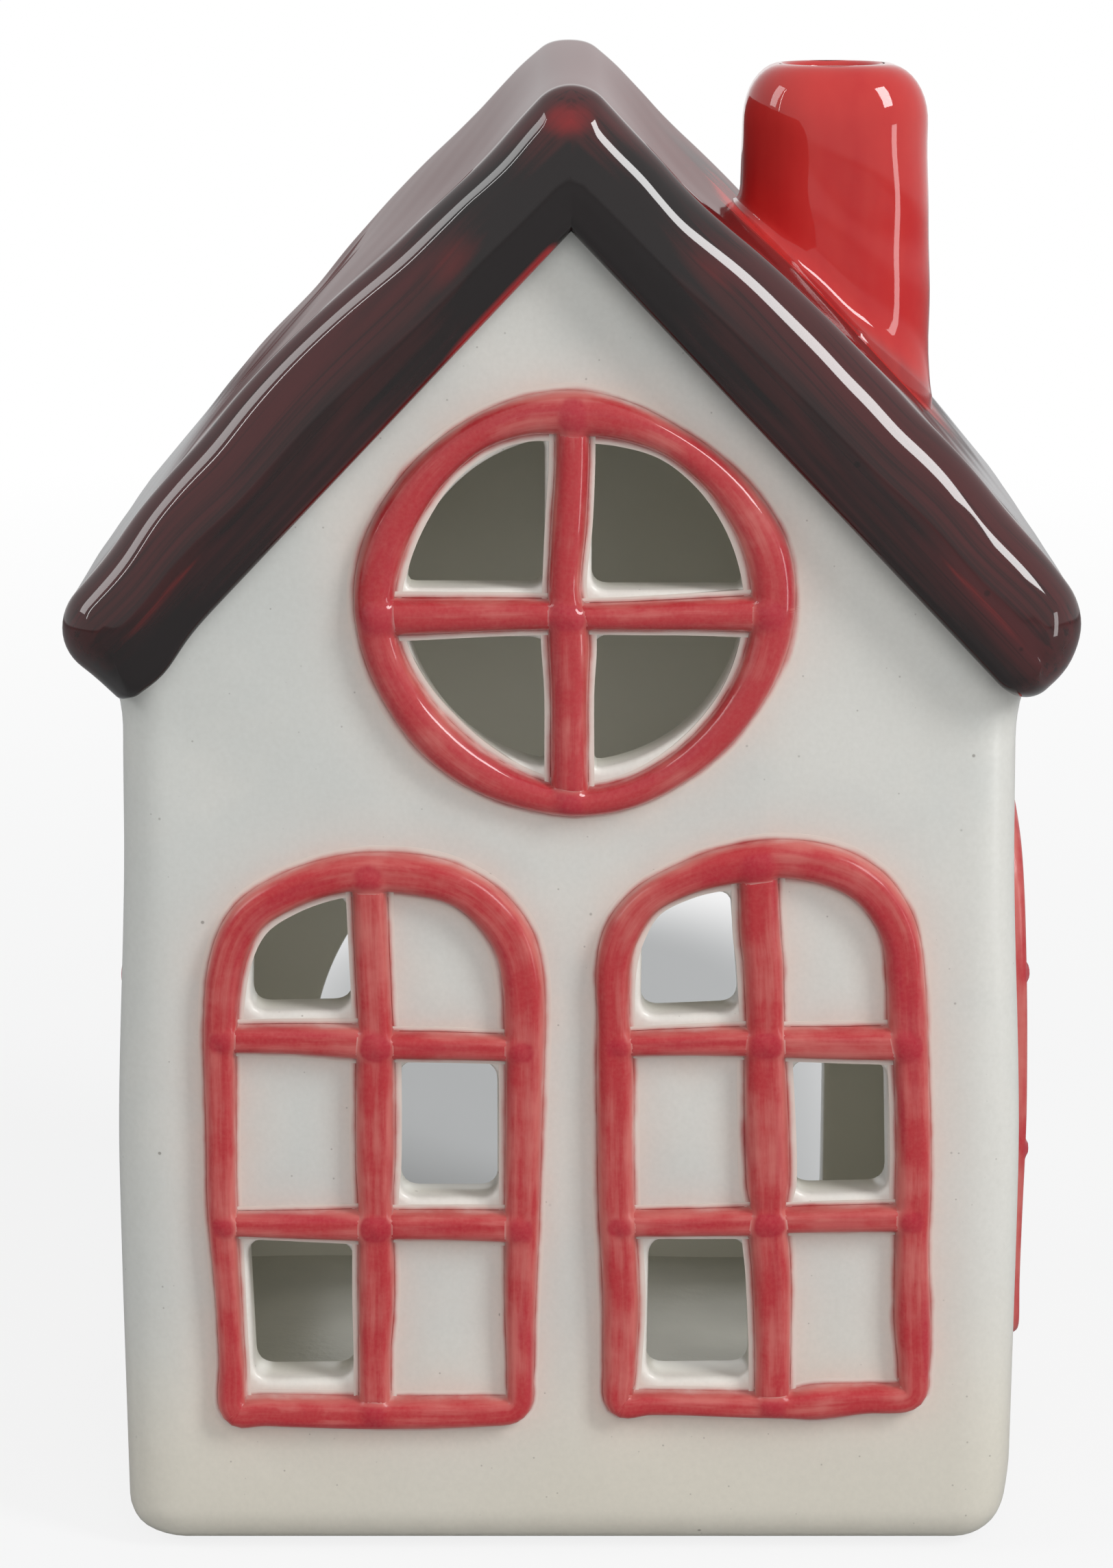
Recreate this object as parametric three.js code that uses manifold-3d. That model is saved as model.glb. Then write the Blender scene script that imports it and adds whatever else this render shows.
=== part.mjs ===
// A glazed ceramic house lantern, put together from clay slabs and strips that are joined with slip:
// four walls round a base slab, two mitred roof slabs, a hollow chimney, and raised window frames
// with glazing bars laid on the walls. A tealight goes in through the arch in the back wall.
// Millimetres, +Z up, front towards -Y, origin under the middle of the house on the surface it stands on.
import * as THREE from "three";
import { mergeVertices } from "three/addons/utils/BufferGeometryUtils.js";
import Module from "manifold-3d";

const wasm = await Module();
wasm.setup();

// Walls and base
const BODY_WIDTH = 86.8;
const BODY_DEPTH = 78;
const WALL = 5;
const FLOOR = 5;
const EAVE_HEIGHT = 86.8; // top outer corner of the side walls
const WALL_EDGE_SHARE = 0.9; // how much of the wall's thickness its outer edges are rounded by
const CORNER_EASE = 1; // how much rounder a corner is than the rounded edge that runs through it
const SLIP = 0.3; // layer of slip in each joint

// Roof
const ROOF_PITCH = THREE.MathUtils.degToRad(46.5);
const ROOF_RIM = 10.5; // thickness at the edges
const ROOF_WEB = 5; // thickness over the room
const ROOF_OVERHANG = 4; // past the front and back walls
const ROOF_CROWN = 1.5; // how far the middle of a slope swells above a flat one
const ROOF_EDGE_SHARE = 0.3; // radius of the front and back edges, as a share of the rim
const ROOF_CORNER_SHARE = 0.38; // the same for the ridge and the corner under the eaves
const ROOF_EAVE_SHARE = 0.5; // the same for the corner over the eaves
const RIDGE_RIB = 8; // full thickness kept beside the mitre, along the slope

// Chimney
const CHIMNEY_WIDTH = 18.4;
const CHIMNEY_X = 27.2;
const CHIMNEY_Y = 6;
const CHIMNEY_HEIGHT = 24.7; // above the roof, along its own axis
const CHIMNEY_RIM_RADIUS = 4;
const FLUE_DIAMETER = 9.2;

// Arched windows, two in front and one in each side
const WINDOW_SIDE_MARGIN = 8; // from the side of the house to a front window
const WINDOW_BOTTOM = 14.4;
const WINDOW_DROP = 13.8; // from the eaves down to the top of a window
const WINDOW_ARCH_RISE = 11.5;
const WINDOW_GAP = 5.6; // between the two front windows
const FRAME_WIDTH = 3.2;
const FRAME_CORNER_RADIUS = 2; // bottom corners of the frame
const UPRIGHT_WIDTH = 3.4;
const TRANSOM_WIDTH = 2.8;
const TRANSOM_SHARES = [0.352, 0.667]; // of a window's height, from its bottom

// Round window in the front gable
const ROUND_DIAMETER = 42;
const ROUND_ROOF_GAP = 3.6; // from the ring to the roof slabs on both sides of it
const RING_WIDTH = 4.4;
const ROUND_UPRIGHT_WIDTH = 3.8;
const ROUND_TRANSOM_WIDTH = 3.2;

// Raised strips, and the panes cut between them
const RELIEF = 1.8;
const STRIP_EDGE_RADIUS = 1.2; // less than RELIEF and half of FRAME_WIDTH
const PANE_MARGIN = 0.7; // wall left between a strip and the pane's edge
const PANE_SILL = 1.2; // the same under a pane
const PANE_CORNER_RADIUS = 2;

// Arch in the back wall
const DOOR_WIDTH = 59.5;
const DOOR_SILL = 10.5;
const DOOR_TOP = 59;
const DOOR_CORNER_RADIUS = 3;

// Fineness of the curves
const EDGE_STEPS = 3;
const SLOPE_STEPS = 6;
const ARC_STEPS = 5;
const ROUND_STEPS = 40;
const MERGE_TOLERANCE = 1e-4;
const CUT_MARGIN = 2; // how far a cutter passes the face it cuts

// Derived sizes
const HALF_WIDTH = BODY_WIDTH / 2;
const HALF_DEPTH = BODY_DEPTH / 2;
const ROOF_LENGTH = BODY_DEPTH + 2 * ROOF_OVERHANG;
const RUN = Math.cos(ROOF_PITCH);
const RISE = Math.sin(ROOF_PITCH);
const INNER_APEX = EAVE_HEIGHT + HALF_WIDTH * Math.tan(ROOF_PITCH);
const OUTER_APEX = INNER_APEX + ROOF_RIM / RUN;
const REACH = 2 * OUTER_APEX; // longer than any piece, for cutters
const WALL_EDGE_RADIUS = WALL_EDGE_SHARE * WALL;
const FOOT_CORNER_RADIUS = WALL_EDGE_RADIUS + CORNER_EASE;
const ROOF_EDGE_RADIUS = ROOF_EDGE_SHARE * ROOF_RIM;
const ROOF_CORNER_RADIUS = ROOF_CORNER_SHARE * ROOF_RIM;
const ROOF_EAVE_RADIUS = ROOF_EAVE_SHARE * ROOF_RIM;
const CHIMNEY_CORNER_RADIUS = CHIMNEY_RIM_RADIUS + CORNER_EASE;
const CHIMNEY_TOP = OUTER_APEX + ROOF_CROWN / RUN - CHIMNEY_X * Math.tan(ROOF_PITCH) + CHIMNEY_HEIGHT;
const WINDOW_TOP = EAVE_HEIGHT - WINDOW_DROP;
const WINDOW_WIDTH = HALF_WIDTH - WINDOW_SIDE_MARGIN - WINDOW_GAP / 2;
const WINDOW_OFFSET = (WINDOW_WIDTH + WINDOW_GAP) / 2; // front windows, from the middle of the house
const TRANSOM_HEIGHTS = TRANSOM_SHARES.map((share) => WINDOW_BOTTOM + share * (WINDOW_TOP - WINDOW_BOTTOM));
const ROUND_HEIGHT = INNER_APEX - (ROUND_DIAMETER / 2 + ROUND_ROOF_GAP) / RUN;

const glaze = (color, roughness) => new THREE.MeshStandardMaterial({ color, roughness, metalness: 0 });
const WHITE_GLAZE = glaze(0xd6d6ce, 0.35);
const RED_GLAZE = glaze(0xb9282f, 0.3);
const ROOF_GLAZE = glaze(0x2b1719, 0.15);

// Solids and meshes

function toSolid(geometry) {
  const bare = new THREE.BufferGeometry();
  bare.setAttribute("position", geometry.getAttribute("position"));
  bare.setIndex(geometry.index);
  const merged = mergeVertices(bare, MERGE_TOLERANCE);
  const vertProperties = new Float32Array(merged.attributes.position.array);
  const triVerts = new Uint32Array(merged.index.array);
  return new wasm.Manifold(new wasm.Mesh({ numProp: 3, vertProperties, triVerts }));
}

function toGeometry(solid) {
  const { vertProperties, triVerts } = solid.getMesh();
  const geometry = new THREE.BufferGeometry();
  geometry.setAttribute("position", new THREE.BufferAttribute(vertProperties, 3));
  geometry.setIndex(new THREE.BufferAttribute(triVerts, 1));
  geometry.computeVertexNormals();
  return geometry;
}

function addPiece(group, name, geometry, material) {
  const piece = new THREE.Mesh(geometry, material);
  piece.name = name;
  group.add(piece);
}

// A box between two corners.
function box(low, high) {
  const size = high.map((value, axis) => value - low[axis]);
  const geometry = new THREE.BoxGeometry(...size);
  return geometry.translate(...low.map((value, axis) => value + size[axis] / 2));
}

// A shape pushed out along +Z between two levels.
function prism(shape, low, high) {
  const options = { depth: high - low, bevelEnabled: false, curveSegments: ARC_STEPS };
  return new THREE.ExtrudeGeometry(shape, options).translate(0, 0, low);
}

// A shape pushed out along +Z to a length, with both its ends rounded.
function roundedPrism(shape, length, radius) {
  const options = {
    depth: length - 2 * radius,
    bevelThickness: radius,
    bevelSize: radius,
    bevelOffset: -radius,
    bevelSegments: EDGE_STEPS,
    curveSegments: ARC_STEPS,
  };
  return new THREE.ExtrudeGeometry(shape, options).translate(0, 0, radius);
}

// A plate from z = 0 to its thickness, with the edges of its outer face rounded and its back flat.
function plate(shape, thickness, radius) {
  const hidden = thickness + radius;
  const whole = toSolid(roundedPrism(shape, thickness + hidden, radius).translate(0, 0, -hidden));
  return whole.subtract(toSolid(box([-REACH, -REACH, -REACH], [REACH, REACH, 0])));
}

// Outlines

// A closed outline through corner points [x, y, radius], each corner rounded by its radius.
function roundedOutline(corners) {
  const shape = new THREE.Shape();
  corners.forEach(([x, y, radius = 0], i) => {
    const corner = new THREE.Vector2(x, y);
    const [before, after] = [corners.at(i - 1), corners[(i + 1) % corners.length]].map(([u, v]) =>
      new THREE.Vector2(u, v).sub(corner).normalize(),
    );
    const half = before.angleTo(after) / 2;
    const start = before.multiplyScalar(radius / Math.tan(half)).add(corner);
    const end = after.multiplyScalar(radius / Math.tan(half)).add(corner);
    if (i === 0) shape.moveTo(start.x, start.y);
    else shape.lineTo(start.x, start.y);
    if (radius === 0) return;
    const middle = start.clone().add(end).multiplyScalar(0.5);
    const centre = middle.sub(corner).setLength(radius / Math.sin(half)).add(corner);
    const from = start.sub(centre).angle();
    const to = end.sub(centre).angle();
    const clockwise = THREE.MathUtils.euclideanModulo(to - from, 2 * Math.PI) > Math.PI;
    shape.absarc(centre.x, centre.y, radius, from, to, clockwise);
  });
  shape.closePath();
  return shape;
}

// The same outline with its two axes scaled, to mirror it.
function mirrored(shape, acrossX, acrossY) {
  const flip = (point) => new THREE.Vector2(point.x * acrossX, point.y * acrossY);
  return new THREE.Shape(shape.getPoints(ARC_STEPS).map(flip));
}

// An upright outline with an elliptical top, drawn in by an inset on every side.
function archOutline(inset, cornerRadius) {
  const half = WINDOW_WIDTH / 2 - inset;
  const bottom = WINDOW_BOTTOM + inset;
  const spring = WINDOW_TOP - WINDOW_ARCH_RISE;
  const shape = new THREE.Shape();
  shape.moveTo(-half, bottom + cornerRadius);
  shape.absarc(cornerRadius - half, bottom + cornerRadius, cornerRadius, Math.PI, 1.5 * Math.PI, false);
  shape.absarc(half - cornerRadius, bottom + cornerRadius, cornerRadius, 1.5 * Math.PI, 2 * Math.PI, false);
  shape.lineTo(half, spring);
  for (let step = 1; step <= ROUND_STEPS / 2; step++) {
    const angle = (2 * Math.PI * step) / ROUND_STEPS;
    shape.lineTo(half * Math.cos(angle), spring + (WINDOW_ARCH_RISE - inset) * Math.sin(angle));
  }
  shape.closePath();
  return shape;
}

// Panes of an arched window that are cut through, in a chequer: the left top, right middle and left bottom ones.
function archedPanes() {
  const outer = WINDOW_WIDTH / 2 - FRAME_WIDTH - PANE_MARGIN;
  const inner = UPRIGHT_WIDTH / 2 + PANE_MARGIN;
  const [low, high] = TRANSOM_HEIGHTS;
  const above = TRANSOM_WIDTH / 2 + PANE_SILL;
  const below = TRANSOM_WIDTH / 2 + PANE_MARGIN;
  const rectangle = (bottom, top) =>
    roundedOutline([
      [inner, bottom, PANE_CORNER_RADIUS],
      [outer, bottom, PANE_CORNER_RADIUS],
      [outer, top, PANE_CORNER_RADIUS],
      [inner, top, PANE_CORNER_RADIUS],
    ]);
  const spring = WINDOW_TOP - WINDOW_ARCH_RISE;
  const archRise = WINDOW_ARCH_RISE - FRAME_WIDTH - PANE_MARGIN;
  const crown = new THREE.Shape();
  const meet = Math.acos(inner / outer);
  const steps = ROUND_STEPS / 4;
  const sill = high + above;
  crown.moveTo(inner + PANE_CORNER_RADIUS, sill);
  crown.lineTo(outer - PANE_CORNER_RADIUS, sill);
  crown.quadraticCurveTo(outer, sill, outer, sill + PANE_CORNER_RADIUS);
  for (let step = 0; step < steps; step++) {
    const angle = (meet * step) / steps;
    crown.lineTo(outer * Math.cos(angle), spring + archRise * Math.sin(angle));
  }
  const top = spring + archRise * Math.sin(meet);
  crown.quadraticCurveTo(inner, top, inner, top - PANE_CORNER_RADIUS);
  crown.lineTo(inner, sill + PANE_CORNER_RADIUS);
  crown.quadraticCurveTo(inner, sill, inner + PANE_CORNER_RADIUS, sill);
  const bottomSill = WINDOW_BOTTOM + FRAME_WIDTH + PANE_SILL;
  return [
    mirrored(crown, -1, 1),
    rectangle(low + above, high - below),
    mirrored(rectangle(bottomSill, low - below), -1, 1),
  ];
}

// The four quarter panes of the round window, about its own centre.
function roundPanes() {
  const left = ROUND_UPRIGHT_WIDTH / 2 + PANE_MARGIN;
  const bottom = ROUND_TRANSOM_WIDTH / 2 + PANE_SILL;
  const radius = ROUND_DIAMETER / 2 - RING_WIDTH - PANE_MARGIN;
  const turn = PANE_CORNER_RADIUS / radius;
  const from = Math.asin(bottom / radius);
  const to = Math.acos(left / radius);
  const right = radius * Math.cos(from);
  const top = radius * Math.sin(to);
  const quarter = new THREE.Shape();
  quarter.moveTo(left + PANE_CORNER_RADIUS, bottom);
  quarter.lineTo(right - PANE_CORNER_RADIUS, bottom);
  quarter.quadraticCurveTo(right, bottom, radius * Math.cos(from + turn), radius * Math.sin(from + turn));
  quarter.absarc(0, 0, radius, from + turn, to - turn, false);
  quarter.quadraticCurveTo(left, top, left, top - PANE_CORNER_RADIUS);
  quarter.lineTo(left, bottom + PANE_CORNER_RADIUS);
  quarter.quadraticCurveTo(left, bottom, left + PANE_CORNER_RADIUS, bottom);
  return [
    [1, 1],
    [-1, 1],
    [-1, -1],
    [1, -1],
  ].map(([acrossX, acrossY]) => mirrored(quarter, acrossX, acrossY));
}

// Cutters for panes, right through a wall.
function paneCutters(panes, x, z) {
  return panes.map((pane) =>
    toSolid(prism(pane, -CUT_MARGIN, WALL + CUT_MARGIN).translate(x, z, 0)),
  );
}

function cutAll(solid, cutters) {
  return cutters.reduce((rest, cutter) => rest.subtract(cutter), solid);
}

// Walls, each drawn face on: x across, y up, z = 0 at the inner face and z = WALL at the outer face

function gableWall() {
  const outline = roundedOutline([
    [-HALF_WIDTH, 0, FOOT_CORNER_RADIUS],
    [HALF_WIDTH, 0, FOOT_CORNER_RADIUS],
    [HALF_WIDTH, REACH],
    [-HALF_WIDTH, REACH],
  ]);
  const drop = SLIP / RUN; // slip between the gable and the roof, measured upright
  const reachDrop = REACH * Math.tan(ROOF_PITCH);
  const sky = roundedOutline([
    [0, INNER_APEX - drop],
    [REACH, INNER_APEX - drop - reachDrop],
    [REACH, 2 * REACH],
    [-REACH, 2 * REACH],
    [-REACH, INNER_APEX - drop - reachDrop],
  ]);
  const cutter = toSolid(prism(sky, -CUT_MARGIN, WALL + CUT_MARGIN));
  return plate(outline, WALL, WALL_EDGE_RADIUS).subtract(cutter);
}

function frontWall() {
  return cutAll(gableWall(), [
    ...paneCutters(archedPanes(), -WINDOW_OFFSET, 0),
    ...paneCutters(archedPanes(), WINDOW_OFFSET, 0),
    ...paneCutters(roundPanes(), 0, ROUND_HEIGHT),
  ]);
}

// The back wall's doorway is a semicircle on upright sides.
function backWall() {
  const half = DOOR_WIDTH / 2;
  const doorway = new THREE.Shape();
  doorway.moveTo(-half, DOOR_SILL + DOOR_CORNER_RADIUS);
  doorway.quadraticCurveTo(-half, DOOR_SILL, DOOR_CORNER_RADIUS - half, DOOR_SILL);
  doorway.lineTo(half - DOOR_CORNER_RADIUS, DOOR_SILL);
  doorway.quadraticCurveTo(half, DOOR_SILL, half, DOOR_SILL + DOOR_CORNER_RADIUS);
  doorway.lineTo(half, DOOR_TOP - half);
  for (let step = 1; step <= ROUND_STEPS / 2; step++) {
    const angle = (2 * Math.PI * step) / ROUND_STEPS;
    doorway.lineTo(half * Math.cos(angle), DOOR_TOP - half + half * Math.sin(angle));
  }
  doorway.closePath();
  return cutAll(gableWall(), paneCutters([doorway], 0, 0));
}

// A side wall stands between the front and back walls, and its top follows the roof's slope.
function sideWall() {
  const length = BODY_DEPTH - 2 * (WALL + SLIP);
  const outerTop = EAVE_HEIGHT - SLIP / RUN;
  const profile = roundedOutline([
    [0, 0],
    [WALL, 0, WALL_EDGE_RADIUS],
    [WALL, outerTop],
    [0, outerTop + WALL * Math.tan(ROOF_PITCH)],
  ]);
  const slab = prism(profile, -length / 2, length / 2).rotateY(-Math.PI / 2);
  return cutAll(toSolid(slab), paneCutters(archedPanes(), 0, 0));
}

// Raised strips, laid on a wall's outer face

// A straight strip with a domed section, from y = 0 up to its length.
function strip(width, length) {
  const section = new THREE.Shape();
  section.absellipse(0, 0, width / 2, RELIEF, 0, Math.PI, false, 0);
  section.closePath();
  return prism(section, 0, length).rotateX(Math.PI / 2).translate(0, length, 0);
}

const upright = (width, x, low, high) => strip(width, high - low).translate(x, low, 0);
const transom = (width, y, low, high) => strip(width, high - low).rotateZ(-Math.PI / 2).translate(low, y, 0);

// The frame and glazing bars of an arched window.
function addArchedWindow(face, name, x) {
  const window = new THREE.Group();
  window.position.set(x, 0, WALL + SLIP);
  face.add(window);
  const outline = archOutline(0, FRAME_CORNER_RADIUS);
  outline.holes.push(archOutline(FRAME_WIDTH, 0));
  addPiece(window, `${name}_frame`, toGeometry(plate(outline, RELIEF, STRIP_EDGE_RADIUS)), RED_GLAZE);

  const bottom = WINDOW_BOTTOM + FRAME_WIDTH + SLIP;
  const top = WINDOW_TOP - FRAME_WIDTH - 2 * SLIP;
  addPiece(window, `${name}_upright`, upright(UPRIGHT_WIDTH, 0, bottom, top), RED_GLAZE);

  const inner = UPRIGHT_WIDTH / 2 + SLIP;
  const outer = WINDOW_WIDTH / 2 - FRAME_WIDTH - SLIP;
  TRANSOM_HEIGHTS.forEach((height, row) => {
    const level = ["lower", "upper"][row];
    addPiece(window, `${name}_${level}_left_bar`, transom(TRANSOM_WIDTH, height, -outer, -inner), RED_GLAZE);
    addPiece(window, `${name}_${level}_right_bar`, transom(TRANSOM_WIDTH, height, inner, outer), RED_GLAZE);
  });
}

// The ring and cross of the round window.
function addRoundWindow(face) {
  const window = new THREE.Group();
  window.position.set(0, ROUND_HEIGHT, WALL + SLIP);
  face.add(window);
  const middle = ROUND_DIAMETER / 2 - RING_WIDTH / 2;
  const section = new THREE.Shape();
  section.absellipse(middle, 0, RING_WIDTH / 2, RELIEF, 0, Math.PI, false, 0);
  section.closePath();
  const ring = new THREE.LatheGeometry(section.getPoints(ARC_STEPS), ROUND_STEPS).rotateX(Math.PI / 2);
  addPiece(window, "round_window_ring", ring, RED_GLAZE);

  const inside = ROUND_DIAMETER / 2 - RING_WIDTH;
  const tall = Math.sqrt(inside ** 2 - (ROUND_UPRIGHT_WIDTH / 2) ** 2) - SLIP;
  const wide = Math.sqrt(inside ** 2 - (ROUND_TRANSOM_WIDTH / 2) ** 2) - SLIP;
  const near = ROUND_UPRIGHT_WIDTH / 2 + SLIP;
  addPiece(window, "round_window_upright", upright(ROUND_UPRIGHT_WIDTH, 0, -tall, tall), RED_GLAZE);
  addPiece(window, "round_window_left_bar", transom(ROUND_TRANSOM_WIDTH, 0, -wide, -near), RED_GLAZE);
  addPiece(window, "round_window_right_bar", transom(ROUND_TRANSOM_WIDTH, 0, near, wide), RED_GLAZE);
}

// Roof and chimney

// The whole roof as one chevron with rounded edges, before the mitre is cut.
function roofChevron() {
  const eaveOver = [HALF_WIDTH + ROOF_RIM * RISE, EAVE_HEIGHT + ROOF_RIM * RUN];
  const slope = [];
  for (let step = 1; step < SLOPE_STEPS; step++) {
    const share = step / SLOPE_STEPS;
    const swell = 4 * ROOF_CROWN * share * (1 - share);
    slope.push([
      eaveOver[0] * (1 - share) + swell * RISE,
      eaveOver[1] * (1 - share) + OUTER_APEX * share + swell * RUN,
    ]);
  }
  const rightHalf = [[HALF_WIDTH, EAVE_HEIGHT, ROOF_CORNER_RADIUS], [...eaveOver, ROOF_EAVE_RADIUS], ...slope];
  const leftHalf = rightHalf.map(([x, z, radius]) => [-x, z, radius]).reverse();
  const ridge = [0, OUTER_APEX, ROOF_CORNER_RADIUS];
  const outline = roundedOutline([...rightHalf, ridge, ...leftHalf, [0, INNER_APEX]]);
  const along = roundedPrism(outline, ROOF_LENGTH, ROOF_EDGE_RADIUS).translate(0, 0, -ROOF_LENGTH / 2);
  return toSolid(along.rotateX(Math.PI / 2));
}

// The hollow under a roof slab, over the room: side is 1 for the right slab and -1 for the left.
function roofPocket(side) {
  const depth = ROOF_RIM - ROOF_WEB;
  const start = RIDGE_RIB;
  const end = (HALF_WIDTH - WALL - SLIP) / RUN;
  const halfLength = HALF_DEPTH - WALL - SLIP;
  const hollow = box([start, -halfLength, -CUT_MARGIN], [end, halfLength, depth]);
  hollow.rotateY(ROOF_PITCH).translate(0, 0, INNER_APEX);
  return toSolid(side > 0 ? hollow : hollow.rotateZ(Math.PI));
}

function flue() {
  const bore = new THREE.CylinderGeometry(FLUE_DIAMETER / 2, FLUE_DIAMETER / 2, 2 * REACH, ROUND_STEPS / 2);
  return toSolid(bore.rotateX(Math.PI / 2).translate(CHIMNEY_X, CHIMNEY_Y, 0));
}

function addRoof(house) {
  const chevron = roofChevron();
  const half = (low, high) => toSolid(box([low, -REACH, -REACH], [high, REACH, REACH]));
  const left = chevron.intersect(half(-REACH, -SLIP / 2)).subtract(roofPocket(-1));
  const right = chevron.intersect(half(SLIP / 2, REACH)).subtract(roofPocket(1)).subtract(flue());
  addPiece(house, "left_roof_slab", toGeometry(left), ROOF_GLAZE);
  addPiece(house, "right_roof_slab", toGeometry(right), ROOF_GLAZE);
}

// The chimney's foot is cut to the roof's slope, and the flue runs right through it.
function addChimney(house) {
  const half = CHIMNEY_WIDTH / 2;
  const square = [
    [-half, -half],
    [half, -half],
    [half, half],
    [-half, half],
  ].map(([x, y]) => [x + CHIMNEY_X, y + CHIMNEY_Y, CHIMNEY_CORNER_RADIUS]);
  const stack = toSolid(roundedPrism(roundedOutline(square), CHIMNEY_TOP, CHIMNEY_RIM_RADIUS));
  const slope = box([-REACH, -REACH, -REACH], [REACH, REACH, ROOF_RIM + ROOF_CROWN + SLIP]);
  slope.rotateY(ROOF_PITCH).translate(0, 0, INNER_APEX);
  const chimney = stack.subtract(toSolid(slope)).subtract(flue());
  addPiece(house, "chimney", toGeometry(chimney), RED_GLAZE);
}

// A group whose x, y and z run across, up and out of a wall that faces the given turn from the front.
function wallFace(house, turn, halfSpan) {
  const side = new THREE.Group();
  side.rotation.z = turn;
  house.add(side);
  const face = new THREE.Group();
  face.rotation.x = Math.PI / 2;
  face.position.y = WALL - halfSpan;
  side.add(face);
  return face;
}

const house = new THREE.Group();

const baseHalfWidth = HALF_WIDTH - WALL - SLIP;
const baseHalfDepth = HALF_DEPTH - WALL - SLIP;
const base = box([-baseHalfWidth, -baseHalfDepth, 0], [baseHalfWidth, baseHalfDepth, FLOOR]);
addPiece(house, "base_slab", base, WHITE_GLAZE);

const front = wallFace(house, 0, HALF_DEPTH);
addPiece(front, "front_wall", toGeometry(frontWall()), WHITE_GLAZE);
addArchedWindow(front, "front_left_window", -WINDOW_OFFSET);
addArchedWindow(front, "front_right_window", WINDOW_OFFSET);
addRoundWindow(front);

const back = wallFace(house, Math.PI, HALF_DEPTH);
addPiece(back, "back_wall", toGeometry(backWall()), WHITE_GLAZE);

const right = wallFace(house, Math.PI / 2, HALF_WIDTH);
addPiece(right, "right_wall", toGeometry(sideWall()), WHITE_GLAZE);
addArchedWindow(right, "right_side_window", 0);

const left = wallFace(house, -Math.PI / 2, HALF_WIDTH);
addPiece(left, "left_wall", toGeometry(sideWall()), WHITE_GLAZE);
addArchedWindow(left, "left_side_window", 0);

addRoof(house);
addChimney(house);

export default house;
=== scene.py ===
"""Ceramic house lantern: the looks of its walls, roof, chimney and painted windows.

The file is laid out as a Blender add-on and is run as a script. Shapes are worked out in millimetres and put
into the meshes in metres. The windows were painted by hand, so their lines are given point by point.
"""

import math
from types import SimpleNamespace

import bmesh
import bpy
import numpy as np
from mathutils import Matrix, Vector
from mathutils.geometry import delaunay_2d_cdt


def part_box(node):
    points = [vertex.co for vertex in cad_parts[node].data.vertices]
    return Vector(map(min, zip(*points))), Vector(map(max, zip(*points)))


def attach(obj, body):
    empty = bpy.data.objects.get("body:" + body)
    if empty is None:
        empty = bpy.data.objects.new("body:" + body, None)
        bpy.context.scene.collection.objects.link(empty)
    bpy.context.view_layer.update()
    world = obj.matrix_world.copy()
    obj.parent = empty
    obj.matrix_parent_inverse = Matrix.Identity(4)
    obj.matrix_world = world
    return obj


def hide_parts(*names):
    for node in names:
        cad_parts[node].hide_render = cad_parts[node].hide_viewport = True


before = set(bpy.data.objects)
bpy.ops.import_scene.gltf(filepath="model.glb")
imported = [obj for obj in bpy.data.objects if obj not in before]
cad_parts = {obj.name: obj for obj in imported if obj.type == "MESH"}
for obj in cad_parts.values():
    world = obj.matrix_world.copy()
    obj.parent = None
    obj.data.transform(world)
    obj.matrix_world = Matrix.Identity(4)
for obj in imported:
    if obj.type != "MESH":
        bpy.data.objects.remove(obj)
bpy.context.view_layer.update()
FRONT_LOW, FRONT_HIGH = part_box("front_wall")
ROOF_LOW, ROOF_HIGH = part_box("right_roof_slab")
CHIMNEY_LOW, CHIMNEY_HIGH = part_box("chimney")

bl_info = {
    "name": "Ceramic house lantern",
    "version": (1, 0, 0),
    "blender": (4, 5, 0),
    "location": "3D View > Sidebar > House",
    "description": "Builds the glazed clay house over its packed frame",
    "category": "Object",
}

MM = 0.001

# How finely lines and faces are cut: spacings in millimetres, and steps of a curve and of a turned corner.
BEAD_SPACING = 0.45
PANE_SPACING = 0.5
DOOR_SPACING = 0.8
FACE_SPACING = 1.0
ROOF_END_SPACING = 0.9
CURVE_STEPS = 24
CORNER_STEPS = 9

# The walls' unevenness: flare under the eaves, swell at half height,
# spread at the foot, and ripple of the faces.
FLARE_BELOW, FLARE_HEIGHT, FLARE_OUT = 4.5, 6.5, 1.4
HALFWAY_SWELL = 0.35
SIDE_SPREAD = 1.05
END_SPREAD = 1.6
RIPPLE = 0.09

# Turns of a rounded edge, in degrees, at which a wall's face is cut, and steps of a pane's lip, in lips.
EDGE_TURNS = (0, 14, 28, 42, 56, 70, 82)
LIP_STEPS = (0.12, 0.4, 1.0)

# How far the walls reach up behind the roof slabs, and how much further the side walls do inside.
TUCK = 2.0
INNER_RISE = 3.4

# Turned corners of the panes, and the arch in the back wall.
PANE_CORNER = 1.9
ROUND_PANE_CORNER = 1.6
DOOR_HALF, DOOR_SILL, DOOR_TOP, DOOR_CORNER = 29.75, 10.5, 59.0, 3.0

# Beads: fullness of their domes, the width that has the stated height, how deep they are set into the wall,
# and how far a brush stroke runs on past its end.
ARCH_BEAD_POWER = 3.6
ROUND_BEAD_POWER = 2.6
USUAL_BEAD_WIDTH = 3.4
BEAD_STEPS = 21
BEAD_FOOT = 0.7
STROKE_REACH = 1.0

# Film of paint past a bead's feet: where it is cut, in half widths, and
# its height. Later kinds lie over earlier ones.
FILM_SHARES = np.array([1.04, 1.12, 1.22, 1.34])
FILM_HEIGHTS = {"frame": 0.03, "upright": 0.055, "bar": 0.08}

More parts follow.
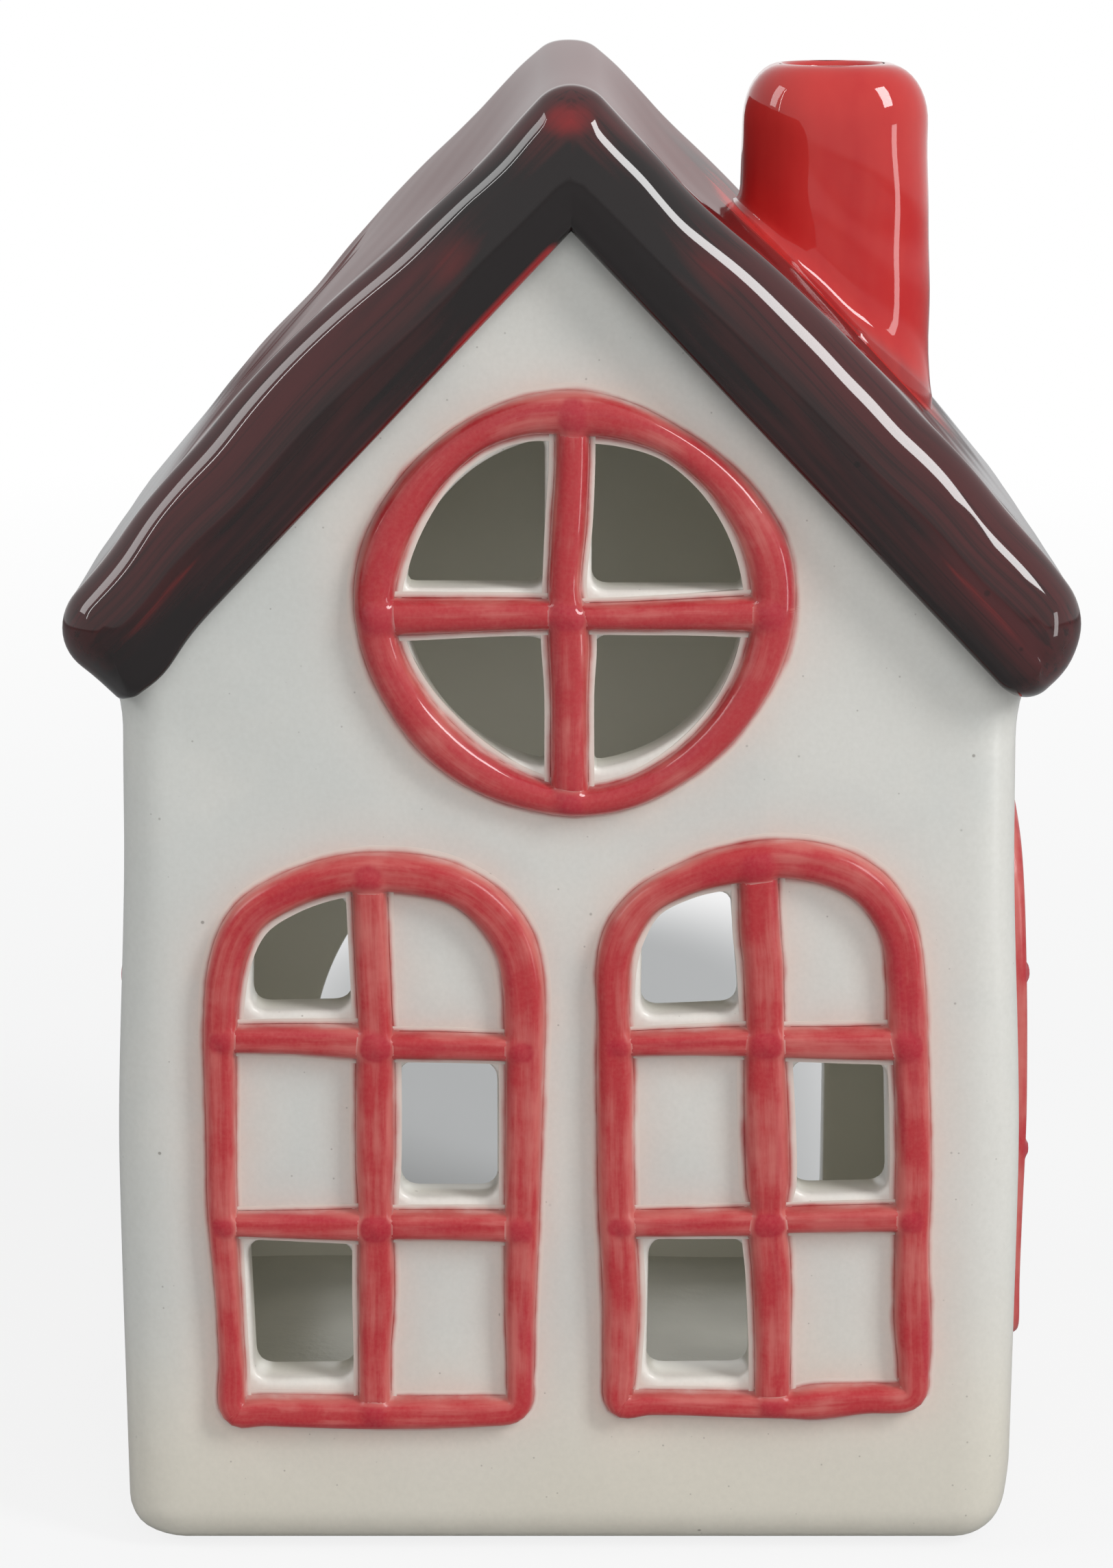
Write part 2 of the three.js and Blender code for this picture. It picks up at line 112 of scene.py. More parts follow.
# Roof slabs: rounding of their ends above and below, of the ridge and of the eaves'
# lower corners, and the pillow of their end faces.
ROOF_TOP_EDGE, ROOF_LOW_EDGE, ROOF_EDGE_POWER = 3.9, 1.3, 1.5
RIDGE_ROUND = 4.2
LEFT_TIP, RIGHT_TIP = 0.9, 2.9
END_PILLOW, END_PILLOW_REACH = 0.22, 2.65

# Edges that bend by more than this, in degrees, are sharp.
CLAY_CREASE, ROOF_CREASE, CHIMNEY_CREASE = 38.0, 50.0, 60.0

# Unevenness of the roof: waves along the slope, amounts by which the ridge and the right eave rise and the
# left slope sags, and how much further out the right eave reaches and the left one draws back.
LONG_WAVE, SHORT_WAVE, FINE_WAVE, EDGE_WAVE = 0.1, 0.05, 0.014, 0.2
RIDGE_RISE, CREST_RISE, RIGHT_RISE, LEFT_SAG = 0.4, 0.9, 0.9, 1.15
RIGHT_REACH, LEFT_DRAWN = 0.5, 0.4

# The left slab's glaze: ridges at the back, as share of their height, place down the slope and spread; and
# the drip, with its depth, its place up from the eave and its spread.
GLAZE_RIDGE_HEIGHT = 0.3
GLAZE_RIDGES = ((1.0, 24.0, 4.0), (0.4, 36.0, 5.0))
GLAZE_RIDGE_Y, GLAZE_RIDGE_LENGTH = 36.5, 3.0
DRIP_DEPTH, DRIP_UP, DRIP_SPREAD = 0.9, 5.4, 3.8

# Red breaks in the glaze of the roof's front: strength, middle and spread, along the slope and out of it.
APEX_RED = 0.68
RED_BREAKS = ((0.55, (-9.5, 6.3), (6.5, 2.8)), (0.5, (11.5, 7.0), (6.0, 2.2)))

# How far the chimney's red is brushed out over the slope, and its share of that way in front of the chimney.
SPILL_REACH, SPILL_FRONT = 6.0, 0.4

# Chimney: how far the glaze draws its rim down, the width and fall of its shoulder, its turned corners, the
# lip of the flue, how deep it is sunk, and the spread and heights of its foot.
RIM_DRAWN = 0.5
SHOULDER_WIDTH, SHOULDER_FALL, CHIMNEY_CORNER = 4.0, 6.2, 7.5
FLUE_LIP = 0.9
CHIMNEY_SUNK = 1.6
FOOT_SPREAD, FOOT_FADE = 1.7, 0.9
FOOT_RISES = (-CHIMNEY_SUNK, 0.0, 0.25, 0.6, 1.1, 1.8, 2.8, 4.2, 6.0)
CHIMNEY_POINTS = 96
BORE_POINTS, BORE_LOW, BORE_HIGH = 40, 70.0, 150.0

# The base slab's top, and how many points it has across and along.
FLOOR_TOP = 5.0
FLOOR_ACROSS, FLOOR_ALONG = 60, 54

# Index of refraction of the clear coat, and share of the blush in the white that a bead's paint frays to.
COAT_IOR = 1.42
STAIN = 0.55

# Lamps, in metres and watts: place, target, size, power, and the kind of light that a lamp is left out of.
HOUSE_MIDDLE = (0.0, 0.0, 0.075)
LAMPS = {
    "softbox_right": ((0.66, -0.44, 0.66), HOUSE_MIDDLE, (0.22, 0.45), 6.1, None),
    "softbox_left": ((-0.78, -0.12, 0.62), HOUSE_MIDDLE, (0.20, 0.50), 2.1, None),
    "strip_left": ((-0.76, -0.30, 0.58), HOUSE_MIDDLE, (0.012, 0.60), 0.55, None),
    "card_right": ((0.41, -0.20, 0.045), (0.036, 0.0, 0.118), (0.07, 0.26), 0.4, "visible_diffuse"),
    "softbox_front": ((0.25, -1.15, 0.60), HOUSE_MIDDLE, (1.00, 0.70), 6.6, "visible_glossy"),
    "softbox_back": ((0.10, 0.95, 0.40), HOUSE_MIDDLE, (0.70, 0.45), 2.6, "visible_glossy"),
}

# Camera: place in metres, tilt down in radians, lens and sensor in millimetres.
CAMERA_PLACE = (-0.00137, -0.4368, 0.1695)
CAMERA_TILT = 0.2237
CAMERA_LENS, CAMERA_SENSOR = 96.71, 36.0

# The stage's round floor, in metres, its colour where it is lit,
# and the strength of the surroundings as light.
STAGE_RADIUS, STAGE_POINTS = 6.0, 64
STAGE_LIT = (0.51, 0.52, 0.525)
SURROUND_LIGHT = 0.27
WHITE = (1.0, 1.0, 1.0)

# A distance past all others.
FAR = 99.0

# A wall drawn face on: the way across it to the right, and the way out of it. Up is always +Z.
FACES = {
    "front": ((1, 0, 0), (0, -1, 0)),
    "back": ((-1, 0, 0), (0, 1, 0)),
    "right": ((0, 1, 0), (1, 0, 0)),
    "left": ((0, -1, 0), (-1, 0, 0)),
}

# Middle lines of the beads of the front left window: across, up and
# width, in millimetres, from the wall's middle.
LEFT_WINDOW = {
    "frame": [
        (-33.5, 15.2, 3.0), (-33.75, 20, 2.6), (-34.05, 27, 2.6), (-34.45, 36, 2.9), (-34.45, 44, 2.9),
        (-34.35, 54, 3.25), (-33.6, 61, 3.5), (-31.5, 65.6, 3.6), (-27.6, 68.3, 3.6), (-23.0, 69.9, 3.6),
        (-18.9, 70.3, 3.8), (-14.0, 69.8, 4.0), (-10.5, 68.6, 3.9), (-7.6, 66.3, 4.1), (-5.6, 63.3, 4.2),
        (-4.7, 59.5, 4.1), (-4.5, 54.5, 4.0), (-4.55, 48, 3.7), (-4.7, 40, 3.5), (-4.8, 34, 3.4),
        (-5.0, 25, 3.0), (-5.0, 18.5, 2.7), (-5.4, 15.4, 2.7), (-9, 14.9, 3.0), (-19.4, 14.75, 3.2),
        (-30, 15.0, 3.1),
    ],
    "upright": [
        (-19.6, 69.2, 3.5), (-19.4, 62, 3.4), (-19.15, 55, 3.4), (-19.17, 51.2, 3.8), (-19.27, 41, 3.85),
        (-19.3, 36.3, 3.45), (-19.3, 27, 3.6), (-19.5, 21, 3.2), (-19.5, 15.4, 3.2),
    ],
    "upper_left_bar": [(-33.6, 53.45, 2.75), (-27, 53.4, 3.0), (-19.9, 53.1, 3.5)],
    "upper_right_bar": [(-18.4, 52.8, 2.75), (-12, 52.7, 2.7), (-5.4, 52.5, 2.65)],
    "lower_left_bar": [(-33.9, 34.4, 2.45), (-27, 34.3, 2.8), (-20.0, 34.25, 3.25)],
    "lower_right_bar": [(-18.6, 34.3, 2.9), (-12, 34.25, 3.0), (-5.4, 34.1, 3.2)],
}
LEFT_PANES = [
    [(-31.4, 56.0), (-21.5, 56.2), (-21.9, 67.7), (-24.6, 67.0), (-27.6, 65.7), (-31.2, 63.2)],
    [(-16.9, 36.9), (-7.2, 36.9), (-7.2, 50.8), (-16.9, 50.9)],
    [(-31.6, 18.0), (-21.6, 18.1), (-21.6, 32.2), (-32.1, 32.5)],
]

# The same for the front right window.
RIGHT_WINDOW = {
    "frame": [
        (5.0, 15.9, 2.9), (4.95, 19.5, 3.3), (5.05, 27, 3.65), (4.6, 35.5, 3.6), (4.47, 41, 3.6),
        (4.37, 51, 3.65), (4.2, 55.5, 3.2), (4.2, 60.5, 3.4), (5.1, 64.3, 3.5), (7.4, 67.5, 3.1),
        (11.2, 69.6, 3.2), (15.3, 70.9, 3.7), (20.4, 71.6, 3.8), (25.4, 70.8, 3.9), (28.9, 68.9, 3.9),
        (31.1, 66.2, 3.8), (32.3, 63.2, 3.7), (32.8, 59, 3.8), (33.05, 54.8, 3.85), (33.45, 51, 3.45),
        (33.85, 43, 3.4), (33.9, 37, 3.45), (33.9, 31.5, 3.3), (34.1, 24.3, 3.6), (34.3, 19.2, 3.1),
        (33.8, 16.5, 2.9), (29.3, 16.2, 2.95), (24.7, 15.85, 3.4), (21.5, 15.6, 2.7), (17, 15.6, 2.5),
        (12, 15.75, 2.4), (8, 15.8, 2.4),
    ],
    "upright": [
        (18.2, 70.8, 3.9), (18.5, 64.3, 4.0), (18.85, 60.8, 3.9), (19.1, 54.5, 3.75), (19.1, 51.5, 4.05),
        (19.4, 43.2, 4.35), (19.55, 38.5, 4.25), (19.6, 36, 3.5), (19.65, 33.4, 3.95), (20.0, 29, 3.85),
        (20.2, 22, 3.6), (20.2, 16.2, 3.5),
    ],
    "upper_left_bar": [(5.1, 52.95, 2.35), (11.5, 53.1, 2.65), (18.4, 53.2, 3.0)],
    "upper_right_bar": [(19.9, 53.1, 3.0), (26, 53.0, 3.2), (32.5, 53.0, 3.5)],
    "lower_left_bar": [(5.5, 34.45, 2.6), (12, 34.5, 2.7), (18.9, 34.65, 2.9)],
    "lower_right_bar": [(20.3, 34.75, 2.55), (26.5, 34.9, 2.65), (33.2, 35.0, 2.75)],
}
RIGHT_PANES = [
    [(6.9, 55.6), (16.6, 56.0), (15.6, 68.4), (11.8, 67.5), (8.6, 65.9), (7.0, 64.0)],
    [(22.1, 37.2), (31.5, 37.4), (31.1, 50.9), (21.7, 51.0)],
    [(7.6, 18.1), (18.0, 18.2), (17.4, 32.6), (7.8, 32.6)],
]

# The round window: outer and inner radius of its ring at every 15 degrees, and its cross.
RING_CENTRE = (0.36, 96.6)
RING_OUTER = [
    21.2, 21.3, 20.7, 20.1, 19.85, 20.25, 20.7, 20.7, 20.6, 20.65, 20.85, 21.2,
    21.2, 20.9, 20.7, 20.75, 20.7, 20.6, 20.75, 20.7, 20.45, 20.4, 20.5, 20.9,
]
RING_INNER = [
    17.0, 16.9, 16.8, 16.8, 16.8, 16.5, 16.4, 17.0, 17.3, 17.1, 16.9, 17.0,
    17.3, 17.1, 16.7, 16.5, 16.75, 17.3, 17.9, 17.8, 17.4, 17.1, 17.0, 16.95,
]
ROUND_WINDOW = {
    "upright": [
        (0.13, 114.9, 3.3), (0.1, 110, 3.3), (-0.2, 104.4, 3.4), (-0.6, 98.3, 3.2), (-0.2, 93.5, 4.0),
        (-0.14, 88, 3.6), (-0.13, 82, 3.6), (-0.1, 77.6, 3.6),
    ],
    "left_bar": [(-18.6, 95.5, 3.7), (-14, 95.55, 3.5), (-7, 95.7, 3.2), (-0.9, 95.75, 3.0)],
    "right_bar": [(0.5, 95.5, 2.6), (6, 95.55, 2.8), (12, 95.7, 3.1), (18.7, 95.8, 3.6)],
}
ROUND_PANES = [(-2.5, 98.2, -1, 1), (2.0, 98.0, 1, 1), (-2.4, 93.4, -1, -1), (2.2, 93.6, 1, -1)]
ROUND_PANE_RADIUS = 16.3


def length(title, words, value):
    """A length property in metres."""
    return bpy.props.FloatProperty(
        name=title, description=words, default=value, min=0.0, precision=4, subtype="DISTANCE", unit="LENGTH"
    )


def tint(title, words, value):
    """A colour property."""
    return bpy.props.FloatVectorProperty(
        name=title, description=words, default=value, size=3, min=0.0, max=1.0, subtype="COLOR"
    )


class HouseSizes(bpy.types.PropertyGroup):
    """Sizes of the clay pieces."""

    width: length("Width", "Body width, across the front", FRONT_HIGH.x - FRONT_LOW.x)
    depth: length("Depth", "Body depth, front to back", -2 * FRONT_LOW.y)
    wall: length("Wall", "Thickness of the wall slabs", FRONT_HIGH.y - FRONT_LOW.y)
    eave: length("Eave height", "Height where the wall's outer face meets the roof", 0.0868)
    pitch: bpy.props.FloatProperty(
        name="Roof pitch",
        description="Slope of the roof",
        default=math.radians(46.5),
        subtype="ANGLE",
        unit="ROTATION",
    )
    rim: length("Roof edge", "Thickness of the roof slabs at their edges", 0.0105)
    web: length("Roof web", "Thickness of the roof slabs over the room", 0.005)
    roof_length: length("Roof length", "Roof length, front to back", ROOF_HIGH.y - ROOF_LOW.y)
    crown: length("Roof crown", "Swell of each slope at its middle", 0.0015)
    wall_edge: length("Wall edge", "Rounding of the body's outer edges", 0.0045)
    lip: length("Pane lip", "Rounding of the edges of the cut panes", 0.0008)
    relief: length("Bead height", "Height of the painted beads above the wall", 0.0019)
    chimney_width: length("Chimney width", "Chimney width above its foot", CHIMNEY_HIGH.x - CHIMNEY_LOW.x)
    chimney_top: length("Chimney top", "Height of the chimney's rim", CHIMNEY_HIGH.z)
    flue: length("Flue", "Bore of the chimney", 0.0092)


class HouseColours(bpy.types.PropertyGroup):
    """Colours of the glazes and the paint."""

    white: tint("White glaze", "Walls", (0.605, 0.60, 0.565))
    # The thick white glaze comes in at random, and also more towards the left, where it is painted shade.
    cool: tint("White glaze, thick", "Where the white glaze lies thick", (0.555, 0.565, 0.54))
    # The warm tint makes the walls darker and warmer towards the foot.
    warm: tint("White glaze, thin", "Where the clay shows through the white glaze", (0.58, 0.55, 0.475))
    blush: tint("Blush", "White glaze that has taken colour from the red paint", (0.66, 0.53, 0.465))
    # The lip tint is a painted highlight: glaze made paler on the panes' rounded lips, where light catches
    # them.
    lip: tint("Lip", "White glaze where it is pulled over an edge", (0.70, 0.695, 0.65))
    # The inside tint is a thin wash of the same glaze, made lighter than the outer glaze as painted light in
    # the shaded room.
    inside: tint("Inside", "Thin wash of glaze inside the house", (0.82, 0.80, 0.71))
    speck: tint("Speck", "Fine specks in the white glaze", (0.12, 0.10, 0.085))
    grain: tint("Grain", "Fine grain of the white glaze", (0.28, 0.27, 0.24))
    red: tint("Red paint", "One coat of the window paint", (0.38, 0.0235, 0.030))
    thin_red: tint("Thin red paint", "Window paint where it is thin", (0.485, 0.125, 0.11))
    deep_red: tint("Double red paint", "Window paint where strokes overlap", (0.345, 0.011, 0.026))
    roof: tint("Roof glaze", "Dark brown roof glaze", (0.040, 0.0105, 0.0105))
    roof_black: tint("Roof glaze, thick", "Where the roof glaze lies thick", (0.010, 0.007, 0.007))
    roof_wine: tint("Roof glaze, thin", "Where the roof glaze breaks to wine red", (0.058, 0.0115, 0.0125))
    pit: tint("Pit", "Pinholes in the roof glaze", (0.006, 0.004, 0.004))
    slope_wine: tint("Slope glaze", "Wine red glaze on the slopes", (0.105, 0.0135, 0.0135))
    chimney: tint("Chimney glaze", "Chimney", (0.46, 0.028, 0.025))
    chimney_deep: tint("Chimney glaze, thick", "Where the chimney glaze lies thick", (0.42, 0.013, 0.016))
    chimney_thin: tint("Chimney glaze, thin", "Where the chimney glaze lies thin", (0.62, 0.05, 0.035))
    # The floor wash tints are a thin glaze. Both are made lighter than the wall glaze as painted light on the
    # shaded floor.
    wash: tint("Floor wash", "Wash of glaze on the base slab", (0.70, 0.685, 0.60))
    wash_cool: tint("Floor wash, thick", "Where the wash on the base slab lies thick", (0.64, 0.63, 0.55))
    grit: tint("Grit", "Dark grit in the bare clay", (0.40, 0.34, 0.27))
    clay: tint("Clay", "Bare clay underneath", (0.56, 0.52, 0.45))


# Lines and loops


def run_along(line):
    """Distance along a line at each of its points."""
    return np.concatenate([[0.0], np.cumsum(np.hypot(*np.diff(line[:, :2], axis=0).T))])


def recut(line, count, closed):
    """A line cut again into a number of equal steps, with its other columns carried along it."""
    if closed:
        line = np.concatenate([line, line[:1]])
    along = run_along(line)
    stops = np.linspace(0.0, along[-1], count + 1)
    if closed:
        stops = stops[:-1]
    return np.stack([np.interp(stops, along, column) for column in line.T], axis=1)


def evenly(line, spacing, closed):
    """A line cut again into equal steps of about one spacing."""
    whole = np.concatenate([line, line[:1]]) if closed else line
    return recut(line, max(3, int(round(run_along(whole)[-1] / spacing))), closed)


def smooth_line(rows, spacing, closed=False):
    """A smooth line through rows of numbers: the Catmull-Rom cubic of each four neighbours, cut evenly."""
    rows = np.asarray(rows, float)
    if closed:
        ring = np.concatenate([rows[-1:], rows, rows[:2]])
    else:
        ring = np.concatenate([2 * rows[:1] - rows[1:2], rows, 2 * rows[-1:] - rows[-2:-1]])
    a, b, c, d = (part[:, None, :] for part in (ring[:-3], ring[1:-2], ring[2:-1], ring[3:]))
    t = np.linspace(0, 1, CURVE_STEPS, endpoint=False)[None, :, None]
    line = b + 0.5 * t * (c - a + t * (2 * a - 5 * b + 4 * c - d + t * (3 * (b - c) + d - a)))
    line = line.reshape(-1, rows.shape[1])
    if not closed:
        line = np.concatenate([line, rows[-1:]])
    return evenly(line, spacing, closed)


def rounded_loop(corners, radius, spacing):
    """A closed outline through corners, each turned by a quadratic curve that starts one radius before it."""
    corners = np.asarray(corners, float)
    back = np.roll(corners, 1, axis=0) - corners
    ahead = np.roll(corners, -1, axis=0) - corners
    back_size = np.linalg.norm(back, axis=1, keepdims=True)
    ahead_size = np.linalg.norm(ahead, axis=1, keepdims=True)
    reach = np.minimum(radius, 0.45 * np.minimum(back_size, ahead_size))
    start = (corners + back / back_size * reach)[:, None]
    end = (corners + ahead / ahead_size * reach)[:, None]
    t = np.linspace(0, 1, CORNER_STEPS)[None, :, None]
    arcs = (1 - t) ** 2 * start + 2 * t * (1 - t) * corners[:, None] + t ** 2 * end
    return evenly(arcs.reshape(-1, 2), spacing, True)


def grown(loop, distance):
    """A closed loop moved outwards along its own normals."""
    ahead = np.roll(loop, -1, axis=0)
    tangent = ahead - np.roll(loop, 1, axis=0)
    area = (loop[:, 0] * ahead[:, 1] - loop[:, 1] * ahead[:, 0]).sum()
    normal = np.stack([tangent[:, 1], -tangent[:, 0]], axis=1) * np.sign(area)
    return loop + distance * normal / np.linalg.norm(normal, axis=1, keepdims=True)


def nearest(points, line, closed):
    """Distance from each point to a line of segments, and the line's other columns there."""
    start = line if closed else line[:-1]
    end = np.roll(line, -1, axis=0) if closed else line[1:]
    reach = end[:, :2] - start[:, :2]
    size = np.maximum((reach ** 2).sum(axis=1), 1e-12)
    away = points[:, None, :] - start[None, :, :2]
    share = np.clip((away * reach).sum(axis=2) / size, 0.0, 1.0)
    square = ((away - share[..., None] * reach) ** 2).sum(axis=2)
    best = square.argmin(axis=1)
    row = np.arange(len(points))
    part = share[row, best][:, None]
    carried = start[best, 2:] + part * (end[best, 2:] - start[best, 2:])
    return np.sqrt(square[row, best]), carried


def inside(points, loop):
    """Which points lie in a closed loop, by the number of its edges that a level ray crosses."""
    x, y = points[:, :1], points[:, 1:]
    ahead = np.roll(loop, -1, axis=0)
    spans = (loop[:, 1] > y) != (ahead[:, 1] > y)
    rise = np.where(loop[:, 1] == ahead[:, 1], 1.0, ahead[:, 1] - loop[:, 1])
    crossing = loop[:, 0] + (y - loop[:, 1]) / rise * (ahead[:, 0] - loop[:, 0])
    return (spans & (x < crossing)).sum(axis=1) % 2 == 1


def ease(low, high, value):
    """Smooth step from 0 at low to 1 at high."""
    t = np.clip((value - low) / (high - low), 0.0, 1.0)
    return t * t * (3 - 2 * t)


def drawn(across, up):
    """Points of a flat drawing, from their places across and up. One number serves for all of them."""
    return np.stack(np.broadcast_arrays(across, up), axis=1)


def round_over(radius, distance):
    """How far a rounded edge lies below the face, at a distance in from the edge: a quarter circle."""
    e = np.clip(radius - distance, 0.0, radius)
    return radius - np.sqrt(np.maximum(radius ** 2 - e ** 2, 0.0))


# Meshes


def put_mesh(points, faces, node, finish, marks, crease=CLAY_CREASE):
    """Makes a piece from points in millimetres, closes it, turns its
    faces outwards, and stands it for its node."""
    name = node + "_clay"
    mesh = bpy.data.meshes.new(name)
    corners = [face for block in faces for face in np.asarray(block).tolist()]
    mesh.from_pydata(np.asarray(points, float) * MM, [], corners)
    for mark, values in marks.items():
        values = np.asarray(values, np.float32)
        kind = "FLOAT_VECTOR" if values.ndim == 2 else "FLOAT"
        layer = mesh.attributes.new(mark, kind, "POINT")
        layer.data.foreach_set("vector" if values.ndim == 2 else "value", values.ravel())
    shell = bmesh.new()
    shell.from_mesh(mesh)
    bmesh.ops.remove_doubles(shell, verts=shell.verts, dist=1e-7)
    bmesh.ops.recalc_face_normals(shell, faces=shell.faces)
    shell.to_mesh(mesh)
    shell.free()
    mesh.shade_smooth()
    mesh.set_sharp_from_angle(angle=math.radians(crease))
    mesh.materials.append(finish)
    piece = bpy.data.objects.new(name, mesh)
    bpy.context.scene.collection.objects.link(piece)
    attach(piece, "root")
    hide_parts(node)
    return piece


def sheet_faces(rows, columns, wrap_rows=False, wrap_columns=False):
    """Quads between neighbouring points of a grid, which may close on itself either way."""
    i = np.arange(rows if wrap_rows else rows - 1)[:, None]
    j = np.arange(columns if wrap_columns else columns - 1)[None, :]
    row, row_after = i * columns, (i + 1) % rows * columns
    after = (j + 1) % columns
    corners = [row + j, row + after, row_after + after, row_after + j]
    return np.stack([corner.ravel() for corner in corners], axis=1)


def triangles(rows, grid, keep):
    """Triangles over rows of joined points, given as (points,
    closed), and loose points, where keep is true."""
    points = np.concatenate([row for row, _ in rows] + [grid])
    edges = []
    first = 0
    for row, closed in rows:
        number = first + np.arange(len(row))
        pairs = np.stack([number, np.roll(number, -1)], axis=1)
        edges.append(pairs if closed else pairs[:-1])
        first += len(row)
    found = delaunay_2d_cdt(points.tolist(), np.concatenate(edges).tolist(), [], 0, 1e-5)
    places = np.array([tuple(place) for place in found[0]])
    faces = np.array(found[2])
    faces = faces[keep(places[faces].mean(axis=1))]
    used, faces = np.unique(faces, return_inverse=True)
    return places[used], faces.reshape(-1, 3)


def rim_edges(faces):
    """Edges that only one face has, in that face's direction."""
    pairs = np.concatenate([np.stack(pair, axis=1) for pair in zip(faces.T, np.roll(faces, -1, axis=1).T)])
    span = faces.max() + 1
    return pairs[~np.isin(pairs @ [span, 1], pairs @ [1, span])]


def slab_faces(faces, count):
    """Faces of a slab: a sheet, the same sheet turned over on the
    other side, and the edges between the two."""
    i, j = rim_edges(faces).T
    return [faces, faces[:, ::-1] + count, np.stack([j, i, i + count, j + count], axis=1)]


def loose_grid(low, high, step, rows, clear):
    """Points of a square grid between two corners, less those within clear of a row of points."""
    start = np.asarray(low) + 0.5 * step
    across, up = np.meshgrid(np.arange(start[0], high[0], step), np.arange(start[1], high[1], step))
    grid = np.stack([across.ravel(), up.ravel()], axis=1)
    taken = np.concatenate([row for row, _ in rows])
    near = [((part[:, None] - taken[None]) ** 2).sum(axis=2).min(axis=1) for part in np.array_split(grid, 24)]
    return grid[np.concatenate(near) > clear ** 2]


# Sizes in millimetres


def plan(context):
    """Sizes in millimetres, with the lengths and directions that follow from them."""
    sizes = context.scene.house_sizes
    p = SimpleNamespace(pitch=sizes.pitch, edge=sizes.wall_edge / MM)
    for name in ("wall", "eave", "rim", "web", "crown", "lip", "relief", "chimney_top"):
        setattr(p, name, getattr(sizes, name) / MM)
    for name, size in (
        ("half_width", sizes.width),
        ("half_depth", sizes.depth),
        ("half_roof", sizes.roof_length),
        ("chimney_half", sizes.chimney_width),
        ("flue", sizes.flue),
    ):
        setattr(p, name, size / 2 / MM)
    p.run = math.cos(p.pitch)
    p.rise = math.sin(p.pitch)
    p.inner_apex = p.eave + p.half_width * math.tan(p.pitch)
    p.outer_apex = p.inner_apex + p.rim / p.run
    p.chimney_x = (CHIMNEY_LOW.x + CHIMNEY_HIGH.x) / 2 / MM
    p.chimney_y = (CHIMNEY_LOW.y + CHIMNEY_HIGH.y) / 2 / MM
    return p


def on_face(p, face, across, up, out):
    """Places on a wall, from across, up and out of its outer face, in the house's own frame."""
    along, outward = (np.array(way, float) for way in FACES[face])
    reach = p.half_depth if face in ("front", "back") else p.half_width
    places = across[:, None] * along + (reach + out)[:, None] * outward
    places[:, 2] += up
    return places


def flared(p, places):
    """Walls curve out a little under the eaves, by a quarter circle's rise, swell a little at half height and
    spread towards the foot, the right wall least, and the front and back only near the floor."""
    x, y, z = places.T
    lift = np.clip((z - (p.eave - FLARE_BELOW)) / FLARE_HEIGHT, 0.0, 1.0)
    flare = FLARE_OUT * (1 - np.sqrt(1 - 0.9 * lift ** 2)) / (1 - math.sqrt(0.1))
    flare = flare + HALFWAY_SWELL * np.sin(math.pi * np.clip(z / p.eave, 0.0, 1.0))
    near = ease(p.half_width - 9.0, p.half_width, np.abs(x))
    side_face = ease(p.half_width - 4.6, p.half_width - 0.5, np.abs(x))
    end_face = ease(p.half_depth - 4.6, p.half_depth - 0.5, np.abs(y))
    spread = 0.27 + SIDE_SPREAD * (1 - ease(38.0, 74.0, z))
    spread = spread - (x > 0) * (0.25 + 0.75 * (1 - ease(0.0, 9.0, z)))
    moved = places.copy()
    moved[:, 0] += np.sign(x) * (flare * near + spread * side_face * (1 - lift))
    moved[:, 1] += np.sign(y) * END_SPREAD * (1 - ease(0.0, 26.0, z)) * end_face
    return moved


# Painted beads


def window_lines(table, shift):
    """Middle lines of a window's beads, with their widths, moved across the wall by a shift."""
    lines = {}
    for bead, rows in table.items():
        closed = bead == "frame"
        rows = np.asarray(rows, float) + [shift, 0.0, 0.0]
        lines[bead] = (smooth_line(rows, BEAD_SPACING, closed), closed)
    return lines


def round_lines():
    """Lines of the round window's beads: its ring, from its outer and
    inner radii round its centre, and its cross."""
    turn = np.radians(np.arange(0, 360, 15))
    outer, inner = np.array(RING_OUTER), np.array(RING_INNER)
    middle = (outer + inner) / 2
    x, z = RING_CENTRE
    ring = np.stack([x + middle * np.cos(turn), z + middle * np.sin(turn), outer - inner], axis=1)
    return window_lines({"frame": ring, **ROUND_WINDOW}, 0.0)


def strokes_of(lines):
    """Brush strokes of a window: each bead's line, with the open ones
    carried on through the bead they end at."""
    strokes = []
    for line, closed in lines.values():
        if not closed:
            ways = line[[0, -1]] - line[[4, -5]]
            ways *= STROKE_REACH / np.linalg.norm(ways[:, :2], axis=1, keepdims=True)
            line = np.concatenate([line[:1] + ways[:1], line, line[-1:] + ways[1:]])
        strokes.append((line, closed))
    return strokes


def bead_share(points, line, closed):
    """How far each point lies across a bead: 0 on its line, 1 at its foot; with the bead's width there."""
    distance, carried = nearest(points, line, closed)
    width = np.maximum(carried[:, 0], 0.5)
    return distance / (width / 2), width


def bead_heights(points, lines, relief, power):
    """Height of the beads over the wall. Each is a flat dome, the root of one less its share across to a
    power; where beads meet, the fifth root of the sum of their fifth powers melts them together."""
    total = np.zeros(len(points))
    for line, closed in lines.values():
        share, width = bead_share(points, line, closed)
        dome = np.sqrt(np.maximum(1 - np.minimum(share, 1) ** power, 0.0))
        total += (relief * (0.7 + 0.3 * width / USUAL_BEAD_WIDTH) * dome) ** 5
    return total ** 0.2


